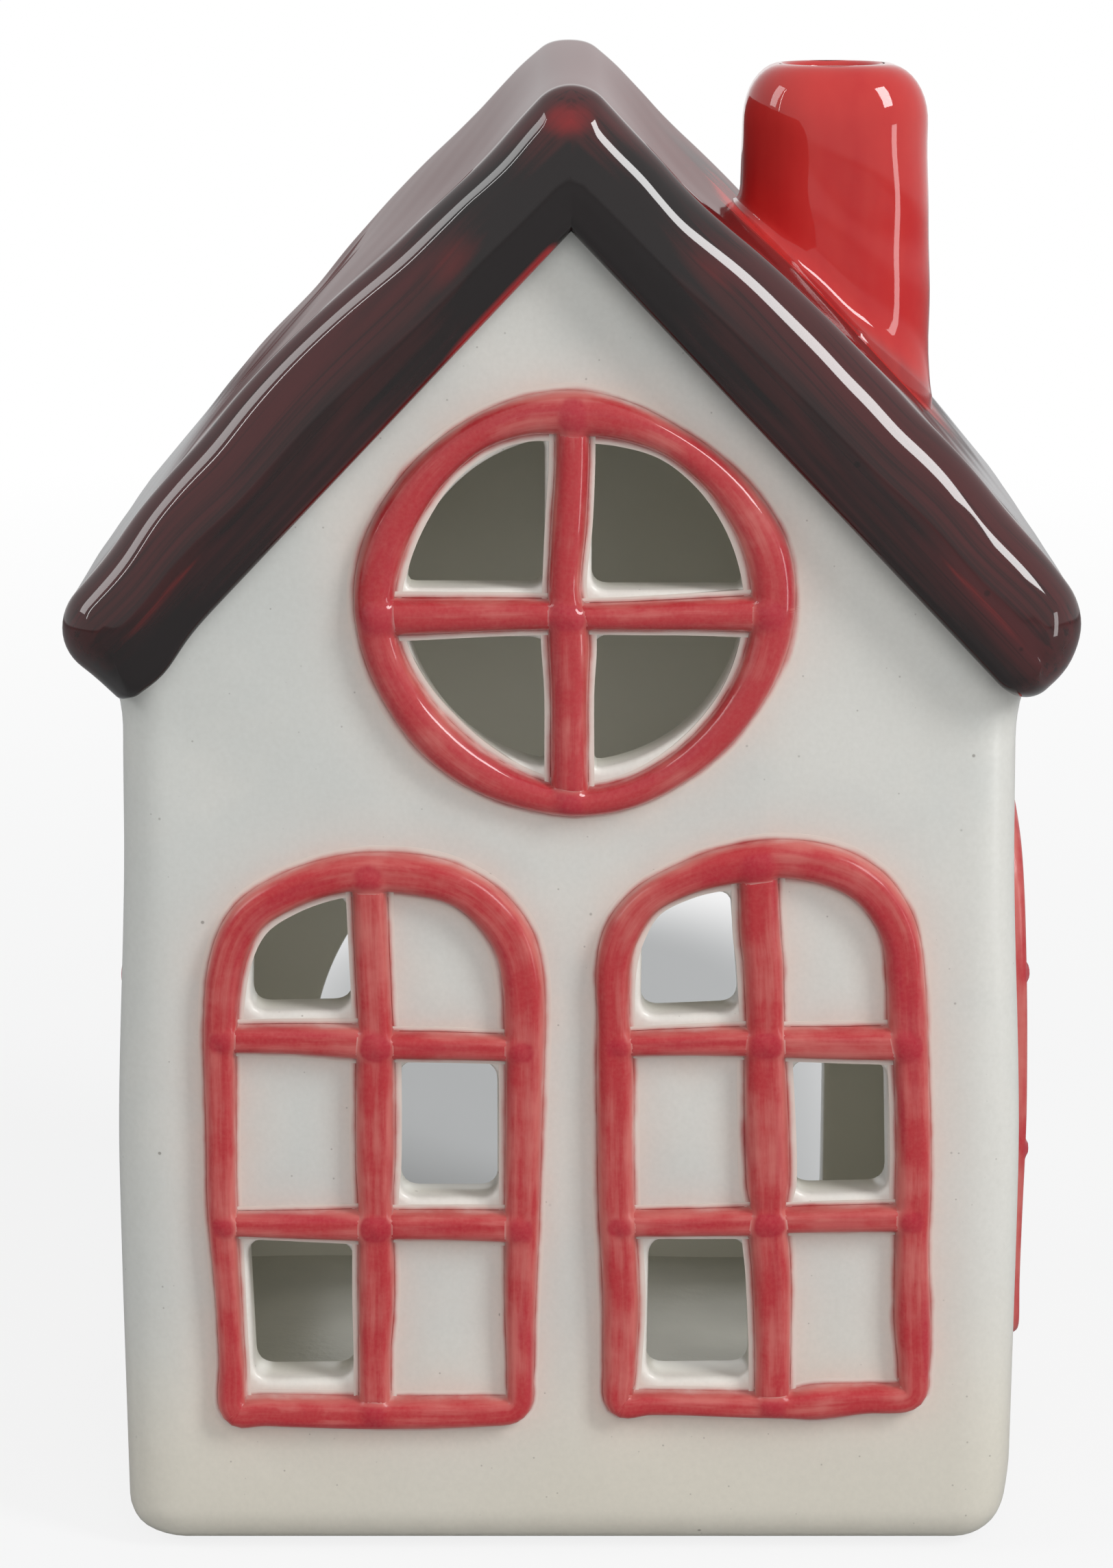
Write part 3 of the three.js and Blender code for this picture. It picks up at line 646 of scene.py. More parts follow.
def bead_piece(p, node, face, bead, lines, relief, power, finish):
    """One bead: its domed section carried along its line, sunk under the beads that it ends in, with a thin
    film of paint that runs out past both its feet. Two corners buried in the wall close each section."""
    line, closed = lines[bead]
    tangent = np.roll(line, -1, axis=0) - np.roll(line, 1, axis=0) if closed else np.gradient(line, axis=0)
    normal = np.stack([-tangent[:, 1], tangent[:, 0]], axis=1)
    normal /= np.linalg.norm(normal, axis=1, keepdims=True)
    dome = np.sin(np.linspace(-math.pi / 2, math.pi / 2, BEAD_STEPS))
    share = np.concatenate([-FILM_SHARES[::-1], dome, FILM_SHARES])
    rows, columns = len(line), len(share)
    spread = line[:, None, :2] + normal[:, None] * share[None, :, None] * line[:, None, 2:3] / 2
    flat = spread.reshape(-1, 2)
    height = bead_heights(flat, lines, relief, power)
    kinds = list(FILM_HEIGHTS)
    kind = bead if bead in kinds else "bar"
    for other in kinds[: kinds.index(kind)]:
        height = height - 0.5 * ease(0.0, 0.5, 1 - bead_share(flat, *lines[other])[0])
    film_height = FILM_HEIGHTS[kind] + 0.01 * np.sin(0.5 * np.repeat(np.arange(rows), columns))
    height = np.where(np.abs(np.tile(share, rows)) > 1.001, film_height, height)
    coats = np.zeros(len(flat))
    for stroke in strokes_of(lines):
        coats += 1 - ease(0.35, 1.1, bead_share(flat, *stroke)[0])

    def closed_by(values, last):
        """Values over the sections, each with those of its two buried corners."""
        last = np.broadcast_to(last, (rows, 2))
        return np.concatenate([values.reshape(rows, columns), last], axis=1).ravel()

    across = closed_by(flat[:, 0], spread[:, [-1, 0], 0])
    up = closed_by(flat[:, 1], spread[:, [-1, 0], 1])
    out = closed_by(height, -BEAD_FOOT)
    side = closed_by(np.tile(share, rows), share[[-1, 0]])
    along, width = np.repeat([run_along(line), line[:, 2]], columns + 2, axis=1)
    stroke = np.stack([along, side * width / 2, np.full(len(along), len(node))], axis=1)
    faces = [sheet_faces(rows, columns + 2, wrap_rows=closed, wrap_columns=True)]
    if not closed:
        ends = np.arange(columns + 2)[None]
        faces += [ends, ends + (rows - 1) * (columns + 2)]
    places = flared(p, on_face(p, face, across, up, out))
    marks = {"coats": closed_by(coats, 1.0), "side": side, "stroke": stroke * MM}
    return put_mesh(places, faces, node, finish, marks)


# Walls


def wall_piece(p, face, rows, depth_at, holes, lines, finish):
    """A wall slab, drawn face on and cut through: a sheet of triangles for its outer face,
    which falls away as a quarter circle at its rounded edges and the panes' lips, a flat
    sheet inside, and the edges between them."""
    outline = rows[0][0]
    rings = [(grown(hole, step * p.lip), True) for hole in holes for step in LIP_STEPS]
    rows = rows + [(hole, True) for hole in holes] + rings
    grid = loose_grid(outline.min(axis=0), outline.max(axis=0), FACE_SPACING, rows, 0.55 * FACE_SPACING)

    def wanted(points):
        """Which points lie in the outline and in none of the holes."""
        return inside(points, outline) & ~np.any([inside(points, hole) for hole in holes], axis=0)

    flat, faces = triangles(rows, grid, wanted)
    count = len(flat)
    across, up = flat.T
    to_hole = np.min([nearest(flat, hole, True)[0] for hole in holes], axis=0)
    edge_drop, from_edge = depth_at(flat)
    bared = np.full(count, FAR)
    for line, closed in lines:
        share, width = bead_share(flat, line, closed)
        bared = np.minimum(bared, (share - 1) * width / 2)
    ripple = RIPPLE * np.sin(0.21 * across + 0.13 * up) * np.sin(0.17 * up - 0.06 * across + 1.0)
    ripple = ripple * ease(0.0, 10.0, from_edge) * ease(0.0, 3.0, to_hole) * ease(0.4, 4.0, bared)
    outer = ripple - edge_drop - round_over(p.lip, to_hole)
    inner = round_over(0.5 * p.lip, to_hole) - p.wall
    if face in ("front", "back"):
        inner_up, room_half = up, p.half_width - p.wall - 0.2
    else:
        inner_up, room_half = up + INNER_RISE * ease(p.eave + 0.5, p.eave + TUCK, up), p.half_depth
    places = np.concatenate([on_face(p, face, across, up, outer), on_face(p, face, across, inner_up, inner)])
    bare = np.zeros(count)
    marks = {
        "blush": np.concatenate([np.exp(-np.maximum(bared, 0.0) / 2.1), bare]),
        # Painted highlight: how much the panes' lips are made paler.
        "lip": np.concatenate([1 - ease(0.2, 1.5, to_hole), bare]),
        "low": np.concatenate([1 - ease(2.0, 34.0, up), bare]),
        # Painted light: the inner faces within the room, which take the lighter inside tint.
        "within": np.concatenate([bare, np.abs(across) < room_half]),
    }
    return put_mesh(flared(p, places), slab_faces(faces, count), face + "_wall", finish, marks)


def edge_steps(p):
    """Distances in from a rounded edge, at set turns of its quarter circle."""
    return p.edge * (1 - np.cos(np.radians(EDGE_TURNS)))


def gable_rows(p):
    """Outline of a gable wall and the lines along its rounded sides and foot, in from the edge by growing
    steps. Each runs down the left side from the slope, round the foot's corners and up to the slope on the
    right. Given with how far its face falls away at a point, and the point's distance from the edge."""
    peak = p.inner_apex + TUCK
    steep = math.tan(p.pitch)
    straight = p.half_width - p.edge
    gaps = edge_steps(p)
    turn = np.linspace(0, math.pi / 2, CORNER_STEPS)
    middle = np.linspace(-straight, straight, 66)[1:-1]
    skirts = []
    for gap in gaps:
        half = p.half_width - gap
        radius = p.edge - gap
        corner = drawn(straight + radius * np.sin(turn), p.edge - radius * np.cos(turn))
        right = np.concatenate([corner, drawn(half, np.linspace(p.edge, peak - half * steep, 70)[1:])])
        skirts.append(np.concatenate([right[::-1] * [-1, 1], drawn(middle, gap), right]))
    across = np.concatenate([p.half_width - gaps[1:], np.arange(0.0, straight, 1.0)[::-1]])
    slope = drawn(across, peak - across * steep)
    outline = np.concatenate([skirts[0], slope, slope[-2::-1] * [-1, 1]])

    def depth_at(points):
        sideways = np.abs(points[:, 0]) - straight
        below = p.edge - points[:, 1]
        both = np.hypot(np.maximum(sideways, 0), np.maximum(below, 0))
        return round_over(p.edge, p.edge - both), np.maximum(p.edge - np.maximum(sideways, below), 0)

    return [(outline, True)] + [(skirt, False) for skirt in skirts[1:]], depth_at


def side_rows(p):
    """Outline of a side wall and the lines along its rounded foot, given as a gable wall's are."""
    half = p.half_depth - p.wall + 0.05
    top = p.eave + TUCK
    gaps = edge_steps(p)
    across = np.linspace(-half, half, 69)
    up = np.concatenate([gaps[1:], np.linspace(p.edge, top, 70)])
    outline = np.concatenate([
        drawn(across, 0.0), drawn(half, up), drawn(across[-2:0:-1], top), drawn(-half, up[::-1])
    ])

    def depth_at(points):
        return round_over(p.edge, points[:, 1]), np.minimum(points[:, 1], half - np.abs(points[:, 0]))

    return [(outline, True)] + [(drawn(across, gap), False) for gap in gaps[1:]], depth_at


def round_pane(x, z, side, level):
    """A quarter pane of the round window: two straight edges and an
    arc inside the ring, with turned corners."""
    low = np.arcsin(abs(z - RING_CENTRE[1]) / ROUND_PANE_RADIUS)
    high = np.arccos(abs(x - RING_CENTRE[0]) / ROUND_PANE_RADIUS)
    turn = np.linspace(low, high, 12)
    arc = RING_CENTRE + ROUND_PANE_RADIUS * drawn(side * np.cos(turn), level * np.sin(turn))
    return rounded_loop(np.concatenate([[(x, z)], arc]), ROUND_PANE_CORNER, PANE_SPACING)


def doorway():
    """The arch in the back wall: a half circle on upright sides, over a sill with turned corners."""
    turn = np.linspace(0, math.pi, 41)
    arch = drawn(DOOR_HALF * np.cos(turn), DOOR_TOP - DOOR_HALF + DOOR_HALF * np.sin(turn))
    sill = [(-DOOR_HALF, DOOR_SILL), (DOOR_HALF, DOOR_SILL)]
    return rounded_loop(np.concatenate([sill, arch]), DOOR_CORNER, DOOR_SPACING)


# Roof and chimney


def between(first, last, count):
    """A straight line of a number of points, without its two ends."""
    return first + np.linspace(0, 1, count)[1:-1, None] * (last - first)


def roof_section(p, side, top_inset, low_inset):
    """Half of the roof's section, from the ridge down the slope, round the eave and up the underside to
    the middle. Its corners are circular arcs, smaller where drawn in. The upper face and the eave are
    drawn in by one inset and the lower face by another, with both ends kept in the middle plane. The
    right eave is turned more than the left."""
    out = np.array([p.rise, p.run])
    down = np.array([p.run, -p.rise])
    apex = np.array([0.0, p.inner_apex])
    ridge = RIDGE_ROUND - 0.35 * top_inset
    nose = 0.5 * p.rim - 0.85 * top_inset
    tip = LEFT_TIP + 0.4 * low_inset if side < 0 else RIGHT_TIP
    eave_low = np.array([p.half_width, p.eave])
    eave_high = eave_low + p.rim * out
    turn = p.pitch * np.linspace(0, 1, 14)[:, None] ** 1.6
    ridge_centre = np.array([0.0, p.outer_apex - (ridge + top_inset) / p.run])
    ridge_arc = ridge_centre + ridge * np.concatenate([np.sin(turn), np.cos(turn)], axis=1)
    quarter = np.linspace(0, math.pi / 2, 14)[:, None]
    nose_centre = eave_high - (nose + top_inset) * (out + down)
    nose_arc = nose_centre + nose * (np.cos(quarter) * out + np.sin(quarter) * down)
    tip_centre = eave_low + (tip + low_inset) * out - (tip + 0.7 * top_inset) * down
    tip_arc = tip_centre + tip * (np.cos(quarter) * down - np.sin(quarter) * out)
    slope = between(ridge_arc[-1], nose_arc[0], 96)
    face = between(nose_arc[-1], tip_arc[0], 5)
    middle = apex + [0.0, low_inset / p.run]
    under = between(tip_arc[-1], middle, 60)
    section = np.concatenate([ridge_arc, slope, nose_arc, face, tip_arc, under, middle[None]])
    height = (section - apex) @ out
    place = np.clip(((section - apex) @ down - 3.0) / ((eave_high - apex) @ down - 6.0), 0, 1)
    swell = p.crown * (4 * place * (1 - place)) ** 1.4 * np.clip(height / p.rim, 0, 1) ** 2
    return section + swell[:, None] * out


def roof_top(p, x):
    """Height of the roof's upper face at a distance from the middle plane."""
    section = roof_section(p, 1, 0.0, 0.0)
    upper = section[: section[:, 0].argmax()]
    return np.interp(np.abs(x), upper[:, 0], upper[:, 1])


def spot(x, z, middle, spread):
    """A soft spot: the bell curve of the distance from its middle, measured in its own spreads."""
    return np.exp(-((x - middle[0]) / spread[0]) ** 2 - ((z - middle[1]) / spread[1]) ** 2)


def roof_marks(p, side, places, fall, height):
    """Where the roof's glaze lies red, black, wine red or bare, and where the chimney's glaze ran onto it."""
    x, y, z = places.T
    front = 1 - ease(0.0, 9.0, y + p.half_roof)
    red = APEX_RED * spot(x, z, (-0.4, p.inner_apex + 10.2), (3.6, 2.4))
    for strength, middle, spread in RED_BREAKS:
        red = np.maximum(red, strength * spot(side * fall, height, middle, spread))
    if side < 0:
        line = np.exp(-(height / 0.8) ** 2) * ease(0.5, 3.0, fall) * (1 - 0.45 * ease(13.0, 18.0, fall))
        red = np.maximum(red, line * (1 - ease(36.0, 50.0, fall)) * (1 - ease(0.6, 1.8, y + p.half_roof)))
    black = spot(x, z, (0.0, p.inner_apex + 2.5), (11.0, 6.5)) + 0.35 * np.exp(-(height / 2.6) ** 2)
    black = black + 0.45 * spot(side * fall, height, (-62.0, 4.0), (12.0, 8.0))
    slope = ease(6.8, 9.0, height) * ease(2.5, 7.0, p.half_roof - np.abs(y)) * (1 - ease(54.0, 66.0, fall))
    dull = slope * (0.53 + 0.13 * ease(-8.0, 2.0, fall) - 0.66 * ease(36.0, 50.0, fall))
    wine = 0.35 * (side > 0) * np.exp(-((fall - 54) / 13) ** 2 - ((height - 6.5) / 3.5) ** 2)
    wine = wine + 0.7 * ease(5.0, 8.5, height) * (1 - ease(50.0, 60.0, fall))
    beside = np.abs(x - p.chimney_x) - p.chimney_half
    before = p.chimney_y - y - p.chimney_half
    before = np.where(before > 0, SPILL_FRONT * before, y - p.chimney_y - p.chimney_half)
    away = np.hypot(np.maximum(beside, 0), np.maximum(before, 0))
    spill = (1 - ease(0.0, SPILL_REACH, away)) * (height > 3) * (side > 0)
    inner = (height < 0.01) * (np.abs(y) < p.half_depth - p.wall + 0.5)
    inner = inner * (np.abs(x) < p.half_width - p.wall + 0.5)
    lay = np.stack([fall, y, height], axis=1) * MM
    return {
        "lay": lay, "red": red * front, "black": black * front, "wine": wine, "slope": slope, "dull": dull,
        "spill": spill, "bare": inner.astype(float),
    }


def roof_moves(p, side, places, fall, height):
    """How far the points of a slab move out of the slope, down it, and straight up. Low waves of the cut clay
    run along the slope, and the underside is hollow over the room. The left slab has two ridges of glaze at
    its back and a thick drip under its front eave. Towards the back the ridge rises and the left slope sags
    below it, and the right slope stands up towards its eave."""
    x, y, _ = places.T
    from_front = y + p.half_roof
    room = ease(4.0, 6.0, x) * (1 - ease(35.0, 37.5, x)) * (1 - ease(31.5, 33.5, np.abs(y)))
    drift = LONG_WAVE * np.sin(0.115 * fall + 0.07 * y + 0.4) + SHORT_WAVE * np.sin(0.31 * fall - 0.11 * y)
    drift = drift + FINE_WAVE * np.sin(0.62 * fall + 1.6 * np.sin(0.17 * fall + side) + 0.3 * y)
    at_edge = EDGE_WAVE * np.sin(0.34 * fall + 1.1 * np.sin(0.12 * fall) + 0.9 * side)
    drift = drift + at_edge * (1 - ease(1.0, 9.0, from_front))
    lift = (height < 0.01) * room * (p.rim - p.web)
    lift = lift + drift * ease(2.0, 12.0, x) * ease(1.0, 8.0, height)
    to_back = ease(-25.0, 38.0, y)
    crest = (RIDGE_RISE + CREST_RISE * ease(0.0, 6.0, x)) * (1 - ease(8.0, 26.0, fall)) * to_back
    if side > 0:
        return lift, RIGHT_REACH * ease(50.0, 62.0, fall), crest + RIGHT_RISE * ease(35.0, 52.0, fall)
    at_back = np.exp(-((y - GLAZE_RIDGE_Y) / GLAZE_RIDGE_LENGTH) ** 2) * ease(8.0, 10.0, height)
    for share, down, spread in GLAZE_RIDGES:
        lift = lift + GLAZE_RIDGE_HEIGHT * share * np.exp(-((fall - down) / spread) ** 2) * at_back
    drip = np.exp(-((fall - p.half_width / p.run + DRIP_UP) / DRIP_SPREAD) ** 2)
    lift = lift - DRIP_DEPTH * drip * (1 - ease(0.5, 4.5, height)) * (1 - ease(0.3, 3.4, from_front))
    sag = LEFT_SAG * ease(16.0, 30.0, fall) * (1 - 0.3 * ease(45.0, 60.0, fall)) * to_back
    reach = -LEFT_DRAWN * ease(52.0, 64.0, fall) * (1 - ease(3.0, 9.0, height))
    return lift, reach, crest - sag


def roof_piece(p, node, side, finish):
    """A roof slab: its section carried along the ridge and drawn in at both ends, above by a
    quarter of a superellipse and below by a smaller quarter circle, with slightly pillowed end
    faces and a mitre face in the middle plane."""
    lead = ROOF_TOP_EDGE * (1 - np.cos(np.radians(np.linspace(0, 90, 21))))
    rest = 1 - np.clip(1 - lead / ROOF_TOP_EDGE, 0, 1) ** ROOF_EDGE_POWER
    top_inset = ROOF_TOP_EDGE * (1 - rest ** (1 / ROOF_EDGE_POWER))
    left_over = np.maximum(ROOF_LOW_EDGE - lead, 0)
    low_inset = ROOF_LOW_EDGE - np.sqrt(ROOF_LOW_EDGE ** 2 - left_over ** 2)
    straight = p.half_roof - ROOF_TOP_EDGE
    middle = np.linspace(-straight, straight, 60)[1:-1]
    level = np.zeros(len(middle))
    y = np.concatenate([lead - p.half_roof, middle, (p.half_roof - lead)[::-1]])
    top_inset = np.concatenate([top_inset, level, top_inset[::-1]])
    low_inset = np.concatenate([low_inset, level, low_inset[::-1]])
    sections = np.stack([roof_section(p, side, *draw) for draw in zip(top_inset, low_inset)])
    rows, columns = sections.shape[:2]
    y_all = np.broadcast_to(y[:, None], (rows, columns))
    places = np.stack([sections[..., 0], y_all, sections[..., 1]], axis=2).reshape(-1, 3)
    faces = [sheet_faces(rows, columns)]
    top = np.arange(rows) * columns
    low = top + columns - 1
    faces.append(np.stack([top[1:-2], top[2:-1], low[2:-1], low[1:-2]], axis=1))
    for row, beside, way in ((0, 1, -1.0), (rows - 1, rows - 2, 1.0)):
        section = sections[row]
        seam = between(section[-1], section[0], 10)
        rings = [(np.concatenate([section, seam]), True)]
        grid = loose_grid(section.min(axis=0), section.max(axis=0), ROOF_END_SPACING, rings, 0.5)
        flat, cap = triangles(rings, grid, lambda points: inside(points, rings[0][0]))
        flat = np.concatenate([seam, flat])
        to_edge = nearest(flat, section, False)[0]
        bulge = END_PILLOW * (1 - np.maximum(1 - to_edge / END_PILLOW_REACH, 0) ** 2)
        mitre = [top[row], top[beside], low[beside], low[row], *(len(places) + np.arange(len(seam)))]
        faces += [[mitre], cap + len(places) + len(seam)]
        places = np.concatenate([places, np.stack([flat[:, 0], y[row] + way * bulge, flat[:, 1]], axis=1)])
    out = np.array([p.rise, 0.0, p.run])
    down = np.array([p.run, 0.0, -p.rise])
    from_apex = places - [0.0, 0.0, p.inner_apex]
    height, fall = from_apex @ out, from_apex @ down
    lift, reach, bend = roof_moves(p, side, places, fall, height)
    places = places + lift[:, None] * out + reach[:, None] * down
    places[:, 2] += bend * ease(4.0, 9.0, height)
    places = places * [side, 1, 1]
    marks = roof_marks(p, side, places, fall, height)
    return put_mesh(places, faces, node, finish, marks, ROOF_CREASE)


def bore_flue(p, piece):
    """Cuts the flue's round bore through the roof slab under the chimney."""
    turn = np.linspace(0, 2 * math.pi, BORE_POINTS, endpoint=False)
    ring = np.stack([p.chimney_x + p.flue * np.cos(turn), p.chimney_y + p.flue * np.sin(turn)], axis=1)
    ends = [np.column_stack([ring, np.full(BORE_POINTS, level)]) for level in (BORE_LOW, BORE_HIGH)]
    number = np.arange(BORE_POINTS)
    faces = sheet_faces(2, BORE_POINTS, wrap_columns=True).tolist()
    faces += [number[::-1].tolist(), (BORE_POINTS + number).tolist()]
    mesh = bpy.data.meshes.new("flue_bore")
    mesh.from_pydata(np.concatenate(ends) * MM, [], faces)
    cutter = bpy.data.objects.new("flue_bore", mesh)
    bpy.context.scene.collection.objects.link(cutter)
    cut = piece.modifiers.new("flue", "BOOLEAN")
    cut.operation = "DIFFERENCE"
    cut.solver = "EXACT"
    cut.object = cutter
    bpy.context.view_layer.update()
    graph = bpy.context.evaluated_depsgraph_get()
    ready = piece.evaluated_get(graph)
    bored = bpy.data.meshes.new_from_object(ready, preserve_all_data_layers=True, depsgraph=graph)
    if not bored.polygons:
        raise RuntimeError("the flue's bore left nothing of the roof slab")
    piece.modifiers.clear()
    piece.data = bored
    bpy.data.objects.remove(cutter)
    bored.set_sharp_from_angle(angle=math.radians(ROOF_CREASE))


def square_ring(half, corner):
    """Points at equal steps round a square with turned corners, starting in the middle of a side."""
    turn = np.linspace(0, math.pi / 2, 13)
    arc = half - corner + corner * drawn(np.cos(turn), np.sin(turn))
    spin = [np.array([[c, s], [-s, c]]) for c, s in ((1, 0), (0, 1), (-1, 0), (0, -1))]
    loop = np.concatenate([[(half, 0.0)]] + [arc @ way for way in spin])
    return recut(loop, CHIMNEY_POINTS, True)


def chimney_piece(p, finish):
    """The chimney: a square with turned corners carried up from the slope, spread at its foot,
    turned in over the rim by a quarter ellipse and carried down the round flue, back to where it
    began. Its downhill side leans out towards the foot. Each ring stands a rise above the slope, or
    a share of the way from there up to a level."""
    top = p.chimney_top - RIM_DRAWN
    shoulder = top - SHOULDER_FALL
    half = p.chimney_half
    spin = np.linspace(0, 2 * math.pi, CHIMNEY_POINTS, endpoint=False)
    circle = drawn(np.cos(spin), np.sin(spin))
    layers = []
    for rise in FOOT_RISES:
        spread = FOOT_SPREAD * math.exp(-max(rise, 0.0) / FOOT_FADE)
        ring = square_ring(half + spread, CHIMNEY_CORNER + spread)
        ring[:, 0] -= 0.85 * spread * ease(0.0, half, ring[:, 0])
        layers.append((ring, rise, 0.0, 0.0))
    shaft = square_ring(half, CHIMNEY_CORNER)
    layers += [(shaft, FOOT_RISES[-1], share, shoulder) for share in np.linspace(0.15, 1.0, 12)]
    for turn in np.radians(np.linspace(0, 90, 11))[1:]:
        inset = SHOULDER_WIDTH * (1 - math.cos(turn))
        ring = square_ring(half - inset, CHIMNEY_CORNER - inset)
        layers.append((ring, 0.0, 1.0, shoulder + SHOULDER_FALL * math.sin(turn)))
    outside = len(layers)
    square_top = layers[-1][0]
    for share, degrees in ((0.5, 0), (1.0, 0), (1.0, 30), (1.0, 60), (1.0, 90)):
        turn = math.radians(degrees)
        mouth = circle * (p.flue + FLUE_LIP * (1 - math.sin(turn)))
        ring = square_top + share * (mouth - square_top)
        layers.append((ring, 0.0, 1.0, top - FLUE_LIP * (1 - math.cos(turn))))
    layers += [(circle * p.flue, -CHIMNEY_SUNK, share, top - FLUE_LIP) for share in np.linspace(0.9, 0.0, 10)]
    rings, rises, shares, levels = (np.array(column) for column in zip(*layers))
    x, y = rings[..., 0] + p.chimney_x, rings[..., 1] + p.chimney_y
    ground = roof_top(p, x) + rises[:, None]
    z = ground + shares[:, None] * (levels[:, None] - ground)
    outer = np.arange(len(layers))[:, None] < outside
    sway = outer * (0.06 * np.sin(0.35 * z + 0.5 * y) + 0.05 * np.sin(0.6 * z + 0.4 * x + 2))
    away = rings / np.linalg.norm(rings, axis=2, keepdims=True)
    x, y = x + sway * away[..., 0], y + sway * away[..., 1]
    foot = np.exp(-np.maximum(z - roof_top(p, x), 0) / 2.5)
    lean = 0.6 + 0.8 * np.clip((top - z) / 32.0, 0, 1)
    x = x + outer * lean * ease(0.0, half, x - p.chimney_x)
    places = np.stack([x, y, z], axis=2).reshape(-1, 3)
    faces = [sheet_faces(len(layers), CHIMNEY_POINTS, wrap_rows=True, wrap_columns=True)]
    marks = {"foot": foot.ravel()}
    return put_mesh(places, faces, "chimney", finish, marks, CHIMNEY_CREASE)


def base_piece(p, finish):
    """The base slab: a grid over the floor, with a slight dish on top and a shallow hollow below."""
    half_x, half_y = p.half_width - p.wall + 0.3, p.half_depth - p.wall + 0.3
    x, y = np.meshgrid(np.linspace(-half_x, half_x, FLOOR_ACROSS), np.linspace(-half_y, half_y, FLOOR_ALONG))
    x, y = x.ravel(), y.ravel()
    in_from = np.minimum(half_x - np.abs(x), half_y - np.abs(y))
    top = FLOOR_TOP + 0.5 * np.exp(-in_from / 1.2) + 0.12 * np.sin(0.2 * x + 1) * np.sin(0.23 * y)
    low = 0.5 * ease(3.0, 6.0, in_from)
    places = np.concatenate([np.stack([x, y, level], axis=1) for level in (top, low)])
    faces = slab_faces(sheet_faces(FLOOR_ALONG, FLOOR_ACROSS), len(x))
    marks = {"bare": np.repeat([0.0, 1.0], len(x))}
    return put_mesh(places, faces, "base_slab", finish, marks)


# Glazes


class Wiring:
    """A node tree under way, with short ways to lead patterns through it."""

    def __init__(self, owner):
        owner.use_nodes = True
        self.tree = owner.node_tree

    def feed(self, socket, value):
        """Links a socket, or sets a number or colour on it."""
        if isinstance(value, bpy.types.NodeSocket):
            self.tree.links.new(value, socket)
        elif socket.type == "RGBA":
            socket.default_value = (*value, 1.0)
        else:
            socket.default_value = value

    def node(self, kind, inputs, output=0, **settings):
        """Adds a node with its settings, feeds its inputs by name or number, and gives one of its outputs."""
        node = self.tree.nodes.new("ShaderNode" + kind)
        for setting, value in settings.items():
            setattr(node, setting, value)
        for socket, value in inputs.items():
            self.feed(node.inputs[socket], value)
        return node.outputs[output]

    def place(self):
        """Object coordinates."""
        return self.node("TexCoord", {}, "Object")

    def math(self, operation, first, second=0.0):
        """Two numbers joined by an operation."""
        return self.node("Math", {0: first, 1: second}, operation=operation)

    def plus(self, first, second):
        """The sum of two numbers."""
        return self.math("ADD", first, second)

    def minus(self, first, second):
        """The difference of two numbers."""
        return self.math("SUBTRACT", first, second)

    def times(self, first, second):
        """The product of two numbers."""
        return self.math("MULTIPLY", first, second)

    def step(self, value, low, high):
        """Smooth step from 0 at low to 1 at high."""
        flip = low > high
        inputs = {"Value": value, "From Min": min(low, high), "From Max": max(low, high)}
        inputs |= {"To Min": 1.0 if flip else 0.0, "To Max": 0.0 if flip else 1.0}
        return self.node("MapRange", inputs, "Result", interpolation_type="SMOOTHSTEP")

    def spread(self, value, low, high):
        """A 0 to 1 pattern carried over to a range."""
        return self.node("MapRange", {"Value": value, "To Min": low, "To Max": high}, "Result")


class Glaze(Wiring):
    """A material under way: a Principled shader and the patterns that lead into it."""

    def __init__(self, name, roughness, gloss, coat, coat_roughness):
        self.material = bpy.data.materials.new(name)
        super().__init__(self.material)
        self.shader = self.tree.nodes["Principled BSDF"]
        for socket, value in (
            ("Roughness", roughness),
            ("Specular IOR Level", gloss),
            ("Coat Weight", coat),
            ("Coat Roughness", coat_roughness),
            ("Coat IOR", COAT_IOR),
        ):
            self.shader.inputs[socket].default_value = value

    def stretched(self, vector, stretch):
        """A vector scaled along its axes."""
        return self.node("Mapping", {"Vector": vector, "Scale": stretch}, "Vector")

    def mark(self, name, output="Fac"):
        """One of the piece's own attributes."""
        return self.node("Attribute", {}, output, attribute_name=name)

    def noise(self, vector, scale, detail, roughness=0.55):
        """Cloudy noise from 0 to 1."""
        inputs = {"Vector": vector, "Scale": scale, "Detail": detail, "Roughness": roughness}
        return self.node("TexNoise", inputs, "Fac")

    def dots(self, vector, scale, size, share):
        """Small round dots, one in some of the cells of a random
        pattern: size in cells, share of the cells."""
        away = self.node("TexVoronoi", {"Vector": vector, "Scale": scale}, "Distance")
        chance = self.node("SeparateColor", {0: away.node.outputs["Color"]})
        return self.times(self.step(away, size, 0.45 * size), self.step(chance, share, 0.8 * share))

    def mix(self, share, first, second):
        """One colour laid over another by a share."""
        return self.node("Mix", {0: share, 6: first, 7: second}, 2, data_type="RGBA")

    def finish(self, colour, roughness, height, strength, depth):
        """Leads the colour, any pattern of roughness, and the bump into the shader."""
        self.feed(self.shader.inputs["Base Color"], colour)
        if roughness is not None:
            self.feed(self.shader.inputs["Roughness"], roughness)
        bump = self.node("Bump", {"Strength": strength, "Distance": depth, "Height": height}, "Normal")
        self.feed(self.shader.inputs["Normal"], bump)
        return self.material


